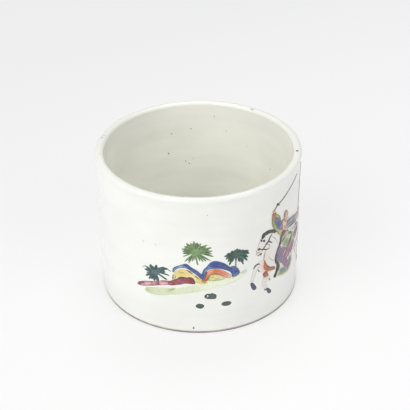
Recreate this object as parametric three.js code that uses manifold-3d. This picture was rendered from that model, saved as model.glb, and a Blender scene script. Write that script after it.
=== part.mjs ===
// A porcelain brush pot, thrown and luted, then glazed white and painted in raised enamels.
// Millimetres, +Z up, origin at the centre of the foot. The painted front faces -Y.
import * as THREE from 'three';
import { mergeVertices } from 'three/addons/utils/BufferGeometryUtils.js';
import Module from 'manifold-3d';

// The pot
const OUTER_DIAMETER = 170;
const HEIGHT = 130;
const WALL_AT_LIP = 7;
const WALL_AT_FOOT = 8;
const LIP_RISE = 2.6;
const LIP_FLARE = 1;
const FLARE_HEIGHT = 9;
const TURN_STEPS = 72;
const LIP_STEPS = 8;
const FLARE_STEPS = 4;

// The foot, left bare where the glaze was wiped off
const FOOT_BEVEL = 0.6;
const GLAZE_EDGE_HEIGHT = 2.2;
const GLAZE_THICKNESS = 0.3;

// The base, luted into the wall on a ledge
const FOOT_RECESS = 5;
const LEDGE_WIDTH = 3;
const BASE_THICKNESS = 7;
const COVE_RADIUS = 4;
const COVE_EDGE = 0.8;
const COVE_STEPS = 4;
const SEAT_CLEARANCE = 0.3;
const BASE_EDGE_BEVEL = 0.8;

// The enamels
const ENAMEL_RELIEF = 0.35;
const ENAMEL_CLEARANCE = 0.05;
const ENAMEL_GAP = 0.4;

// The painter's sketch is squared up: so many columns to one outer diameter, so many rows from its foot to the lip.
// u counts columns round the girth from the front, v counts rows up from the sketch's foot.
const SKETCH_FOOT = 1.4;
const SKETCH_COLUMNS = 170;
const SKETCH_ROWS = 128.6;
const LOOP_STEPS = 3;
const STROKE_STEPS = 3;
const LOBE_STEPS = 4;
const LOBE_DEPTH = 0.16;
const NEEDLE_HEART = 0.55;
const NEEDLE_BELLY = 0.5;
const SHORT_NEEDLE = 0.84;
const CUT_MARGIN = 4;

const outerRadius = OUTER_DIAMETER / 2;
const lipRadius = outerRadius + LIP_FLARE;
const seatRadius = outerRadius - WALL_AT_FOOT;
const footInnerRadius = seatRadius - LEDGE_WIDTH;
const floorHeight = FOOT_RECESS + BASE_THICKNESS;

const wasm = await Module();
wasm.setup();

const PORCELAIN = { color: 0xf4f4ef, roughness: 0.18, metalness: 0 };
const ENAMEL = { roughness: 0.3, metalness: 0 };
const PAINTS = {
  rose: 0xd77a92,
  crimson: 0x96324b,
  yellow: 0xe8d25f,
  blue: 0x3a57ad,
  orange: 0xe67837,
  paleGreen: 0xc8e1aa,
  teal: 0x3c6969,
  leafGreen: 0x5f9755,
  darkGreen: 0x325a55,
  moss: 0x4b645a,
  bark: 0x5a4640,
  white: 0xe9e2d8,
  mane: 0x463c3c,
  ironRed: 0xc85f37,
  hoofBlue: 0x3c4678,
  olive: 0xb4a04b,
  plum: 0x8c5078,
  black: 0x28282a,
  armourGreen: 0x558c69,
  sleeveBlue: 0x4664a5,
  greyBlue: 0x6e82a5,
  skin: 0xebc8aa,
  peach: 0xd29678,
};

const pot = new THREE.Group();

function addMesh(name, geometry, look) {
  const mesh = new THREE.Mesh(geometry, new THREE.MeshStandardMaterial(look));
  mesh.name = name;
  pot.add(mesh);
}

// Turning: a profile of radius and height, revolved about the pot's axis
function turned(profile) {
  const points = profile.map(([radius, height]) => new THREE.Vector2(radius, height));
  return new THREE.LatheGeometry(points, TURN_STEPS).rotateX(Math.PI / 2);
}

function arc(centreR, centreZ, halfWidth, rise, from, to, steps) {
  const points = [];
  for (let i = 0; i <= steps; i += 1) {
    const angle = from + ((to - from) * i) / steps;
    points.push([centreR + halfWidth * Math.cos(angle), centreZ + rise * Math.sin(angle)]);
  }
  return points;
}

// The outside from the glaze edge up: a straight side that flares a little into the lip
function outside(proud) {
  const points = [[outerRadius + proud, GLAZE_EDGE_HEIGHT + GLAZE_THICKNESS]];
  for (let i = 0; i <= FLARE_STEPS; i += 1) {
    const t = i / FLARE_STEPS;
    points.push([outerRadius + LIP_FLARE * t * t + proud, HEIGHT - LIP_RISE - FLARE_HEIGHT * (1 - t)]);
  }
  return points;
}

// The wall: bevelled bare foot, glaze edge, side, rounded lip and the ledge for the base
function wallGeometry() {
  const lip = arc(lipRadius - WALL_AT_LIP / 2, HEIGHT - LIP_RISE, WALL_AT_LIP / 2, LIP_RISE, 0, Math.PI, LIP_STEPS);
  const bareRadius = outerRadius - GLAZE_THICKNESS;
  const profile = [
    [footInnerRadius + FOOT_BEVEL, 0],
    [outerRadius - FOOT_BEVEL, 0],
    [bareRadius, FOOT_BEVEL],
    [bareRadius, GLAZE_EDGE_HEIGHT],
    ...outside(0).slice(0, -1),
    ...lip,
    [seatRadius, floorHeight + COVE_RADIUS],
    [seatRadius, FOOT_RECESS],
    [footInnerRadius, FOOT_RECESS],
    [footInnerRadius, FOOT_BEVEL],
    [footInnerRadius + FOOT_BEVEL, 0],
  ];
  return turned(profile);
}

// The base: a thick disc seated on the ledge, with a cove that runs up to the wall
function baseGeometry() {
  const radius = seatRadius - SEAT_CLEARANCE;
  const coveTop = floorHeight + COVE_RADIUS;
  const cove = arc(radius - COVE_EDGE - COVE_RADIUS, coveTop, COVE_RADIUS, -COVE_RADIUS, 0, Math.PI / 2, COVE_STEPS);
  const profile = [
    [0, FOOT_RECESS],
    [radius - BASE_EDGE_BEVEL, FOOT_RECESS],
    [radius, FOOT_RECESS + BASE_EDGE_BEVEL],
    [radius, coveTop],
    ...cove,
    [0, floorHeight],
  ];
  return turned(profile);
}

// Outlines on the sketch: a smooth closed loop through points
function loop(...points) {
  const corners = points.map(([u, v]) => new THREE.Vector3(u, v, 0));
  const path = new THREE.CatmullRomCurve3(corners, true, 'centripetal');
  const sampled = path.getPoints(points.length * LOOP_STEPS).slice(0, -1);
  return sampled.map((point) => new THREE.Vector2(point.x, point.y));
}

function widthAlong(widths, t) {
  const place = t * (widths.length - 1);
  const before = Math.min(Math.floor(place), widths.length - 2);
  return THREE.MathUtils.lerp(widths[before], widths[before + 1], place - before);
}

// A brush stroke along a line that swells and thins
function stroke(points, widths) {
  const line = new THREE.SplineCurve(points.map(([u, v]) => new THREE.Vector2(u, v)));
  const steps = (points.length - 1) * STROKE_STEPS;
  const leftEdge = [];
  const rightEdge = [];
  for (let i = 0; i <= steps; i += 1) {
    const t = i / steps;
    const place = line.getPoint(t);
    const along = line.getTangent(t);
    const across = new THREE.Vector2(-along.y, along.x).multiplyScalar(widthAlong(widths, t) / 2);
    leftEdge.push(place.clone().add(across));
    rightEdge.unshift(place.clone().sub(across));
  }
  return [...leftEdge, ...rightEdge];
}

// A tuft of moss, or a head: an oval whose edge swells out in even lobes
function tuft(u, v, width, height, lobes, depth = LOBE_DEPTH) {
  const steps = Math.max(lobes * LOBE_STEPS, 4 * LOBE_STEPS);
  const edge = [];
  for (let i = 0; i < steps; i += 1) {
    const angle = (2 * Math.PI * i) / steps;
    const swell = 1 - depth * (0.5 + 0.5 * Math.cos(lobes * angle));
    edge.push(new THREE.Vector2(
      u + (width / 2) * swell * Math.cos(angle),
      v + (height / 2) * swell * Math.sin(angle),
    ));
  }
  return edge;
}

// One needle: a flick of the brush from the crown's heart to a pointed tip
function needle(heart, degrees, length, width) {
  const along = new THREE.Vector2(1, 0).rotateAround(new THREE.Vector2(), THREE.MathUtils.degToRad(degrees));
  const across = new THREE.Vector2(-along.y, along.x).multiplyScalar(width / 2);
  const belly = heart.clone().addScaledVector(along, length * NEEDLE_BELLY);
  return [
    heart.clone().addScaledVector(across, -NEEDLE_HEART),
    belly.clone().sub(across),
    heart.clone().addScaledVector(along, length),
    belly.clone().add(across),
    heart.clone().addScaledVector(across, NEEDLE_HEART),
  ];
}

// A crown: needles fanned evenly about the heart out to an oval, each second one short, none over the trunk
function fan({ heart, oval, count, width, gapAt, gap, long = [] }) {
  const root = new THREE.Vector2(...heart);
  const [middleU, middleV, reachU, reachV] = oval;
  const needles = long.map(([degrees, length]) => needle(root, degrees, length, width));
  for (let i = 0; i < count; i += 1) {
    const degrees = (360 * i) / count;
    const turn = THREE.MathUtils.degToRad(degrees);
    const off = THREE.MathUtils.euclideanModulo(degrees - gapAt + 180, 360) - 180;
    if (Math.abs(off) > gap) {
      const a = (Math.cos(turn) / reachU) ** 2 + (Math.sin(turn) / reachV) ** 2;
      const b = ((root.x - middleU) * Math.cos(turn)) / reachU ** 2 + ((root.y - middleV) * Math.sin(turn)) / reachV ** 2;
      const c = ((root.x - middleU) / reachU) ** 2 + ((root.y - middleV) / reachV) ** 2 - 1;
      const reach = (-b + Math.sqrt(b * b - a * c)) / a;
      needles.push(needle(root, degrees, i % 2 === 0 ? reach : reach * SHORT_NEEDLE, width));
    }
  }
  return needles;
}

function grown(outline, by) {
  const edge = THREE.ShapeUtils.area(outline) > 0 ? outline : [...outline].reverse();
  return edge.map((point, i) => {
    const before = edge[(i + edge.length - 1) % edge.length];
    const after = edge[(i + 1) % edge.length];
    const along = after.clone().sub(before).normalize();
    return new THREE.Vector2(point.x + along.y * by, point.y - along.x * by);
  });
}

// Solids on the wall
function solidOf(geometry) {
  const bare = geometry.clone();
  bare.deleteAttribute('normal');
  bare.deleteAttribute('uv');
  const merged = mergeVertices(bare);
  return new wasm.Manifold(new wasm.Mesh({
    numProp: 3,
    vertProperties: new Float32Array(merged.attributes.position.array),
    triVerts: new Uint32Array(merged.index.array),
  }));
}

function geometryOf(solid) {
  const mesh = solid.getMesh();
  const geometry = new THREE.BufferGeometry();
  geometry.setAttribute('position', new THREE.BufferAttribute(mesh.vertProperties, mesh.numProp));
  geometry.setIndex(new THREE.BufferAttribute(mesh.triVerts, 1));
  geometry.computeVertexNormals();
  return geometry;
}

// A coat: the thin skin that a layer of enamel fills, proud of the wall all the way up to the lip
function coat(layer) {
  const inner = ENAMEL_CLEARANCE + layer * (ENAMEL_RELIEF + ENAMEL_CLEARANCE);
  const skin = [...outside(inner + ENAMEL_RELIEF), ...outside(inner).reverse()];
  return solidOf(turned([...skin, skin[0]]));
}

const coats = [coat(0), coat(1)];

// An outline of the sketch, laid round the wall and pushed through it along the radius at its middle
function throughWall(outline) {
  const girth = OUTER_DIAMETER / SKETCH_COLUMNS;
  const rise = (HEIGHT - SKETCH_FOOT) / SKETCH_ROWS;
  const arcs = outline.map((point) => (point.x * girth) / outerRadius);
  const left = Math.min(...arcs);
  const right = Math.max(...arcs);
  const middle = (left + right) / 2;
  const flat = outline.map((point, i) => new THREE.Vector2(
    outerRadius * Math.sin(arcs[i] - middle),
    SKETCH_FOOT + point.y * rise,
  ));
  const nearest = outerRadius * Math.cos((right - left) / 2) - CUT_MARGIN;
  const depth = lipRadius + CUT_MARGIN - nearest;
  const prism = new THREE.ExtrudeGeometry(new THREE.Shape(flat), { depth, bevelEnabled: false });
  const outward = new THREE.Vector3(Math.sin(middle), -Math.cos(middle), 0);
  const sideways = new THREE.Vector3(Math.cos(middle), Math.sin(middle), 0);
  const frame = new THREE.Matrix4().makeBasis(sideways, new THREE.Vector3(0, 0, 1), outward);
  frame.setPosition(outward.clone().multiplyScalar(nearest));
  return solidOf(prism.applyMatrix4(frame));
}

// One enamel: its outlines joined, kept clear of the enamels laid before it, and filled to its coat
function enamel(name, paint, outlines, { layer = 0, beside = [] } = {}) {
  let solid = outlines.map(throughWall).reduce((joined, next) => joined.add(next));
  for (const neighbour of beside) {
    solid = solid.subtract(throughWall(grown(neighbour, ENAMEL_GAP)));
  }
  solid = solid.intersect(coats[layer]);
  addMesh(`enamel_${name}`, geometryOf(solid), { color: PAINTS[paint], ...ENAMEL });
}

// Rocks and banks
const rocks = {
  crimson: loop(
    [-26, 47.2], [-25, 49.4], [-22.6, 50.2], [-20.6, 52], [-18, 53], [-16.4, 54.6], [-13, 55.2], [-10.4, 54],
    [-8.6, 54.6], [-6, 53.2], [-4.6, 50.6], [-5.2, 48.9], [-10, 48.9], [-15, 49.2], [-20, 47.8], [-23.4, 46.8],
  ),
  rose: loop(
    [-55.5, 38], [-50.5, 37.1], [-45, 38.6], [-39, 41.8], [-34, 43.5], [-28, 45.6],
    [-25, 48.6], [-28.5, 49], [-34, 47.5], [-40, 45.6], [-46, 43.6], [-52, 41.2],
  ),
  green: loop(
    [-47.5, 35.9], [-44, 38], [-39, 39.8], [-33, 41.4], [-25, 43.2], [-15, 45.6], [-5, 48], [5, 49.9],
    [15, 50.9], [25, 52.2], [33, 54.2], [39, 55.6], [36, 51.6], [30, 48], [22, 46.4], [12, 44.2],
    [2, 41.6], [-8, 39.6], [-18, 37], [-28, 34.6], [-36, 33], [-43, 32.5], [-46.6, 33.6],
  ),
  yellow: loop(
    [-23.4, 50], [-22.8, 54.5], [-21.4, 58.6], [-18.4, 61.2], [-14.6, 62.6], [-10.8, 62], [-7.4, 59.4],
    [-3.4, 56.6], [-0.4, 54], [2.6, 51.6], [4.6, 49.8], [-1, 48.4], [-10, 49], [-18, 49], [-22, 48.6],
  ),
  orange: loop(
    [1.8, 51.4], [3, 56], [4.8, 59.8], [7.4, 62], [11.6, 62.9], [16, 62.5], [20, 60.4], [23.2, 57.4], [25, 53.4],
    [23.6, 52.2], [20.4, 53.2], [17, 55.8], [12.6, 57.9], [8.4, 57.7], [6.6, 55], [5.8, 51.6], [3.8, 50.4],
  ),
  boulder: loop(
    [6.6, 51.4], [7.6, 55.2], [10.4, 57.2], [13.8, 56], [17, 53.4], [19.8, 51.4], [14, 50.9], [10, 50.9],
  ),
  blue: loop(
    [-23.6, 57.4], [-22.8, 60.6], [-20.6, 63], [-17.4, 65], [-14.4, 67.2], [-11.8, 68], [-9.2, 66.8], [-7, 64.6],
    [-3.2, 62.4], [-0.6, 60.4], [1.2, 58.8], [2.4, 60.2], [3.4, 62.6], [6, 65], [6.6, 68], [9.4, 69.9],
    [12.6, 70.3], [16, 69.2], [19.4, 67], [21, 64.8], [23, 63.4], [26.6, 63.2], [29.4, 61.2], [31.6, 58],
    [32, 55], [28.6, 53], [25.8, 52.8], [25.6, 55.6], [24.2, 58.4], [21.6, 60.6], [18, 62.8], [13.6, 63.8],
    [9, 63.2], [5.8, 61.6], [3.8, 58.6], [1.8, 54], [0.6, 52.8], [-1.4, 55.4], [-4.4, 57.6], [-7.8, 60],
    [-11, 62.6], [-15, 63], [-18.6, 61.4], [-21.6, 58.6], [-22.6, 56.2],
  ),
};

function paintRocks() {
  const { crimson, rose, green, yellow, orange, boulder, blue } = rocks;
  enamel('crimson_rock', 'crimson', [crimson]);
  enamel('rose_bank', 'rose', [rose], { beside: [crimson, green] });
  enamel('green_bank', 'paleGreen', [green]);
  enamel('yellow_rock', 'yellow', [yellow], { beside: [crimson, green] });
  enamel('orange_rock', 'orange', [orange], { beside: [yellow, green] });
  enamel('yellow_boulder', 'yellow', [boulder], { beside: [yellow, orange, green] });
  enamel('blue_ridge', 'blue', [blue], { beside: [yellow, orange, crimson, green] });
}

// Three pines on the rocks and three dots of moss below them
function paintPlants() {
  const pines = [
    {
      name: 'left', paint: 'teal', ground: rocks.rose, trunk: [[-37.4, 53.1], [-36.6, 50.1], [-36, 46.8]], thick: [1.6, 1.6, 1.8],
      crown: { heart: [-38, 57], oval: [-37.6, 56.6, 10.4, 8], count: 15, width: 2.4, gapAt: -80, gap: 14, long: [[8, 14]] },
    },
    {
      name: 'middle', paint: 'leafGreen', ground: rocks.blue, trunk: [[-2.7, 76.6], [-2.2, 71.6], [-1.6, 67.2]], thick: [1.1, 1.2, 0.9],
      crown: { heart: [-3, 80.6], oval: [-2.6, 79.4, 12.6, 11.2], count: 32, width: 1.5, gapAt: -84, gap: 7 },
    },
    {
      name: 'right', paint: 'darkGreen', ground: rocks.blue, trunk: [[29.5, 72.2], [29.3, 67.4], [29, 61.6]], thick: [1.4, 1.4, 1.8],
      crown: { heart: [29.6, 76.1], oval: [29.8, 72, 10.8, 8.4], count: 18, width: 1.9, gapAt: -90, gap: 12 },
    },
  ];
  for (const { name, paint, ground, trunk, thick, crown } of pines) {
    const needles = fan(crown);
    enamel(`pine_${name}`, paint, needles);
    enamel(`pine_${name}_trunk`, 'bark', [stroke(trunk, thick)], { beside: [...needles, ground] });
  }
  const dots = [[8.3, 36, 10, 5.8, 9], [-0.6, 26.6, 7, 5, 7], [21.3, 27, 8.5, 4.6, 8]];
  dots.forEach((dot, i) => enamel(`moss_${i + 1}`, 'moss', [tuft(...dot)]));
}

// The rider, turned to the front, one arm raised and a staff in each hand
const rider = {
  torso: loop(
    [74.8, 73.4], [75.2, 78], [76, 82.6], [78, 86], [81.6, 86.4], [84.8, 84], [86, 79.4], [85.6, 74.6], [84.4, 70.8], [79.6, 70.2],
  ),
  hips: loop(
    [76.6, 69.4], [82, 70.6], [88.4, 69.4], [91, 65.5], [89.6, 60.6], [85.4, 58.2], [80, 59.4], [76, 63], [75.4, 66.4],
  ),
  robeEdge: stroke([[75, 70.6], [73.8, 65.4], [70.8, 59.4], [69, 53.2], [70.6, 47.4]], [2, 2.6, 2.8, 2.6, 2]),
  skirt: loop(
    [71.4, 62.5], [75, 62.6], [79.6, 59], [85, 57.6], [90, 59.8], [93, 64], [97, 63.4], [99, 57.6], [96.4, 50],
    [93, 44], [88.6, 37], [83.4, 38.4], [79.6, 44], [74.6, 47.6], [71.4, 49.6], [70, 53.4], [70, 58],
  ),
  cloth: loop(
    [100.6, 57], [103, 54], [101, 46.4], [97, 39], [90, 33.2], [81, 31.6],
    [74.4, 34], [73.8, 38.6], [75.6, 42.6], [79, 43], [86, 44], [91, 46], [96, 50],
  ),
  boot: stroke([[73, 46.6], [71.8, 42.4], [69.8, 38.4], [67.4, 36.4]], [4.4, 4.2, 3.8, 2.6]),
  raisedSleeve: loop(
    [66.4, 95.6], [69.4, 94.4], [72.6, 90.4], [75.2, 85.6], [75.4, 80.6], [74.2, 75.4], [71.4, 77.4], [68, 84], [66.4, 90],
  ),
  sleeveBorder: stroke([[64.6, 95], [64.8, 88], [68, 80.2], [72.8, 74.2]], [1.6, 2.6, 2.8, 1.6]),
  cuff: stroke([[65.6, 96.6], [65.2, 100.4]], [4.6, 3.8]),
  lowSleeve: stroke([[84.6, 76.6], [90, 78.2], [97, 78.6], [104.5, 78.2]], [5.5, 7, 6.8, 4.6]),
  face: tuft(82.4, 88, 6.8, 7.4, 0, 0),
  cap: loop([78, 90.4], [78.4, 93.4], [80.4, 95.4], [83.4, 95.4], [86, 93], [86.4, 90.2], [82.4, 91.2]),
};

function paintRider() {
  const { torso, hips, robeEdge, skirt, cloth, boot, raisedSleeve, sleeveBorder, cuff, lowSleeve, face, cap } = rider;
  const staff = stroke([[65.9, 102.4], [70.6, 105.8], [79.5, 109.6], [94.8, 115.8], [104, 119.4]], [1, 1.3, 1, 1, 0.8]);
  const farStaff = stroke([[106.6, 80.2], [112.5, 89], [118.5, 101], [123.5, 118]], [1.2, 1.2, 1.1, 0.8]);
  enamel('torso', 'peach', [torso], { layer: 1, beside: [raisedSleeve, sleeveBorder, lowSleeve, face] });
  enamel('hip_plates', 'armourGreen', [hips], { layer: 1, beside: [torso, robeEdge] });
  enamel('robe_edge', 'black', [robeEdge], { layer: 1, beside: [torso, boot] });
  enamel('skirt', 'plum', [skirt], { layer: 1, beside: [hips, robeEdge, boot] });
  enamel('saddle_cloth', 'olive', [cloth], { layer: 1, beside: [hips, torso, skirt, boot, lowSleeve] });
  enamel('boot', 'black', [boot], { layer: 1 });
  enamel('raised_sleeve', 'sleeveBlue', [raisedSleeve], { layer: 1, beside: [sleeveBorder, face] });
  enamel('sleeve_border', 'olive', [sleeveBorder], { layer: 1 });
  enamel('cuff', 'ironRed', [cuff], { layer: 1, beside: [raisedSleeve, sleeveBorder] });
  enamel('low_sleeve', 'greyBlue', [lowSleeve], { layer: 1 });
  enamel('face', 'skin', [face], { layer: 1, beside: [cap] });
  enamel('cap', 'ironRed', [cap], { layer: 1 });
  enamel('staff', 'bark', [staff]);
  enamel('far_staff', 'bark', [farStaff]);
}

// The horse, galloping left, with its trappings laid over it
function paintHorse() {
  const body = loop(
    [49, 66.4], [47.7, 68.6], [48.8, 72.4], [50.4, 77], [52.4, 81.4], [54.2, 84.4], [57.4, 85], [62, 84.6],
    [67, 82.4], [72, 78.6], [78, 75.6], [86, 74], [100, 73.6], [114, 74.4], [125, 71.2], [130.5, 64],
    [128.5, 56.5], [118, 51], [104, 46.5], [90, 44.2], [76, 43.4], [66, 44.6], [59, 47.8], [56, 52.6],
    [55.8, 58.5], [57, 63], [57.6, 67.5], [56, 70.4], [52.6, 66.8], [50.4, 65.2],
  );
  const legs = [
    stroke([[62, 53], [56, 56.6], [50, 56.2], [46.2, 50], [43.8, 42.4]], [9, 7.4, 4.6, 3.2, 2.6]),
    stroke([[63, 48], [58, 41], [55.8, 34.6], [58.4, 29.4]], [8.5, 5, 3.2, 2.6]),
    stroke([[121, 60], [121, 48], [126.5, 38.5], [133, 30.8]], [15, 9, 5, 3.2]),
    stroke([[111, 55], [108.5, 44], [112.5, 36], [116.8, 29.6]], [11, 7, 4.2, 3]),
  ];
  const mane = loop(
    [52, 79.2], [52.8, 84.2], [56.6, 86.6], [61.8, 86.4], [66.6, 84.8],
    [69, 82], [66.4, 80.6], [61.6, 82], [57.2, 81.8], [54.6, 79.4],
  );
  const tail = stroke([[127.5, 70.4], [134.5, 68.6], [140.5, 60.5], [142.6, 48]], [3, 5.5, 7.5, 1.4]);
  const strap = stroke([[56.2, 60], [56.9, 53.6], [60.4, 48.6], [65.6, 46.2], [69.6, 45.4]], [2.2, 3.4, 3.4, 2.8, 2]);
  const tassel = loop([56.4, 46.8], [58.6, 46.2], [60.8, 43.4], [60.2, 41.6], [57, 42], [54.8, 45]);
  const hooves = [
    loop([42.4, 41.2], [45, 41], [48.2, 35], [46.6, 33.2], [43.4, 36.6]),
    loop([58.2, 29.2], [60.8, 28.8], [64.2, 23.8], [62.6, 22], [59.2, 25]),
    loop([132.6, 29.6], [135.4, 30.8], [137.4, 27], [133.4, 25.2]),
    loop([116, 28.4], [118.8, 29], [120, 25.2], [115.6, 24.8]),
  ];
  enamel('horse', 'white', [body, ...legs], { beside: hooves });
  enamel('mane', 'mane', [mane], { layer: 1, beside: [rider.sleeveBorder, rider.raisedSleeve] });
  enamel('tail', 'mane', [tail], { beside: [body] });
  enamel('breast_strap', 'ironRed', [strap], { layer: 1, beside: [rider.boot, rider.robeEdge] });
  enamel('tassel', 'ironRed', [tassel], { layer: 1, beside: [strap] });
  hooves.forEach((hoof, i) => enamel(`hoof_${i + 1}`, 'hoofBlue', [hoof]));
}

addMesh('wall', wallGeometry(), PORCELAIN);
addMesh('base_plate', baseGeometry(), PORCELAIN);
paintRocks();
paintPlants();
paintHorse();
paintRider();

export default pot;
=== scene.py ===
"""A white glazed porcelain brush pot, painted with raised enamels of rocks, pines and a mounted rider."""

import math
import random

import bmesh
import bpy
import numpy as np
from mathutils import Matrix, Vector, noise


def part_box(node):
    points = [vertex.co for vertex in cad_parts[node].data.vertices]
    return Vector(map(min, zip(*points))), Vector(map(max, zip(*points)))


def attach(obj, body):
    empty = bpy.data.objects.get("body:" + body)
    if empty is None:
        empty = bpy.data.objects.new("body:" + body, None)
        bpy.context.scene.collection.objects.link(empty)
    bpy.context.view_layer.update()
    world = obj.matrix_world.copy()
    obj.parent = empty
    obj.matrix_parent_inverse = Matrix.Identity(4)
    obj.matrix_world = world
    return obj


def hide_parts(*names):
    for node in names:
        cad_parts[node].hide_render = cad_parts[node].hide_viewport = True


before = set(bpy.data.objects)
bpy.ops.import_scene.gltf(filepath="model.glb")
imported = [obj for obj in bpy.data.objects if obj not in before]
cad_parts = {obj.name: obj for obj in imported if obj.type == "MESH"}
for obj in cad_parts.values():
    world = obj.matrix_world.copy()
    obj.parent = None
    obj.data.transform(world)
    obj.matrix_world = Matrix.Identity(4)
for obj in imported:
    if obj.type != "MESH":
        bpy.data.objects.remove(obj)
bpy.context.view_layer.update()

MM = 0.001

# The pot, in millimetres, from the frame
wall_low, wall_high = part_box("wall")
base_low, base_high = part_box("base_plate")
LIP_FLARE = 1.0
FLARE_HEIGHT = 9.0
RADIUS = (wall_high.x - wall_low.x) / 2 / MM - LIP_FLARE
HEIGHT = wall_high.z / MM
SEAT_RADIUS = base_high.x / MM + 0.3
FOOT_RECESS = base_low.z / MM
COVE_TOP = base_high.z / MM

# Sizes of the section that the frame's boxes don't give, in millimetres
LIP_WIDTH = 7.0
LIP_RISE = 2.6
COVE_RADIUS = 4.0
COVE_EDGE = 0.6
LEDGE_WIDTH = 3.0
FOOT_BEVEL = 0.6
GLAZE_EDGE = 2.2
GLAZE_THICKNESS = 0.3

# Where the painted bounce light inside the pot begins: the lip's middle in metres, and how sharp its edge is
LIP_RING = 0.0825
BOUNCE_EDGE = 6000

# The glaze where it wraps over the wall's foot, and how far the floor and underside bow, in millimetres
BEAD = 0.7
TUCK = 1.2
SHELL_FOOT = 1.4
SHELL_HEEL = 2.0
BASE_OVERLAP = 0.15
BASE_ROUNDING = 0.3
FLOOR_BOW = 0.25
UNDER_BOW = 0.5

# How the wheel and the kiln left the surface, in millimetres
TURN_STEPS = 288
WOBBLE = 0.22
SWAY = 0.25
SWAY_REACH = 12
RING_DEPTH = 0.07
RING_PITCH = 6.5
RING_FADE_LOW = 12
RING_FADE_HIGH = 20
RING_STOP = 8

# How the glaze and the paste look: noise scales per metre, depths in metres, the foot's darkening towards the table
# in millimetres
GLAZE_IOR = 1.5
CLOUD_SCALE = 22.0
BAND_STRETCH = (7.0, 7.0, 70.0)
BAND_SHARE = 0.7
SWIRL_STRETCH = (13.0, 13.0, 46.0)
SPECK_SCALE = 95.0
SPECK_CHANCE_SCALE = 61.0
SPECK_CHANCE = 0.66
SMEAR_SCALE = 40.0
RIPPLE_SCALE = 260.0
RIPPLE_DEPTH = 0.0003
FOOT_DARK_SCALE = 90.0
FOOT_DARK_SHIFT = 1.6
FOOT_DARK_TOP = 4.0
GRAIN_SCALE = 1400.0
GRAIN_DEPTH = 0.0004

# How the enamels look: noise scales on the sketch, and streaks that run along or across it
STREAK_SCALE = 9.0
PATCH_SCALE = 24.0
PATCH_SHARE = 0.45
RIM_STRENGTH = 1.7
ALONG = (6.0, 22.0, 1.0)
ACROSS = (22.0, 6.0, 1.0)

# The enamels, in millimetres: u runs right round the girth from the front, v up from the sketch's foot
SKETCH_FOOT = 1.4
PINE_RISE = 0.6
SUNK = 0.15
LEVEL_STEP = 0.13
WASH_RELIEF = 0.12
LINE_RELIEF = 0.05
WASH_SHOULDER = 0.8
WASH_GRID = 0.9
RIM_WIDTH = 1.3
SKETCH_UNIT = 100
LINE_MIN = 0.06
TONE = "tone"
RIM = "rim"
SKETCH = "sketch"


def srgb(red, green, blue):
    """A colour as a screen shows it, in linear light."""
    def linear(value):
        value = value / 255
        return value / 12.92 if value <= 0.04045 else ((value + 0.055) / 1.055) ** 2.4
    return (linear(red), linear(green), linear(blue), 1.0)


def grey(value):
    return (value, value, value, 1.0)


# Nodes

class Tree:
    """The nodes of a material or a world, and short ways to add to them."""

    def __init__(self, owner):
        owner.use_nodes = True
        self.nodes = owner.node_tree.nodes
        self.links = owner.node_tree.links

    def fill(self, node, inputs):
        """Links outputs to a node's inputs, or sets the inputs' own values."""
        for key, value in inputs.items():
            if isinstance(value, bpy.types.NodeSocket):
                self.links.new(value, node.inputs[key])
            else:
                node.inputs[key].default_value = value

    def add(self, kind, inputs=None, **settings):
        node = self.nodes.new(f"ShaderNode{kind}")
        for name, value in settings.items():
            setattr(node, name, value)
        self.fill(node, inputs or {})
        return node

    def place(self):
        return self.add("TexCoord").outputs["Object"]

    def split(self, place):
        return self.add("SeparateXYZ", {"Vector": place}).outputs

    def noise(self, place, scale, detail=3.0, stretch=None):
        if stretch:
            place = self.add("Mapping", {"Scale": stretch, "Vector": place}).outputs["Vector"]
        return self.add("TexNoise", {"Scale": scale, "Detail": detail, "Vector": place}).outputs["Fac"]

    def ramp(self, factor, *stops):
        node = self.add("ValToRGB", {"Fac": factor})
        elements = node.color_ramp.elements
        while len(elements) < len(stops):
            elements.new(0.5)
        for element, (position, colour) in zip(elements, stops):
            element.position = position
            element.color = colour
        return node.outputs["Color"]

    def calc(self, operation, first, second, clamp=False):
        return self.add("Math", {0: first, 1: second}, operation=operation, use_clamp=clamp).outputs["Value"]

    def mix(self, factor, first, second, blend="MIX"):
        """The two colours mixed; 6, 7 and 2 are the node's sockets for colours."""
        return self.add("Mix", {"Factor": factor, 6: first, 7: second}, data_type="RGBA", blend_type=blend).outputs[2]

    def bump(self, height, strength, distance):
        return self.add("Bump", {"Strength": strength, "Distance": distance, "Height": height}).outputs["Normal"]

    def seen(self, share):
        """A share where the camera itself looks, and nothing where light bounces."""
        return self.calc("MULTIPLY", self.add("LightPath").outputs["Is Camera Ray"], share)


def new_material(name):
    """A material with one shader, and the tree that feeds it."""
    material = bpy.data.materials.new(name)
    tree = Tree(material)
    tree.nodes.clear()
    shader = tree.add("BsdfPrincipled")
    tree.add("OutputMaterial", {"Surface": shader.outputs["BSDF"]})
    return material, tree, shader


# Materials

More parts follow.
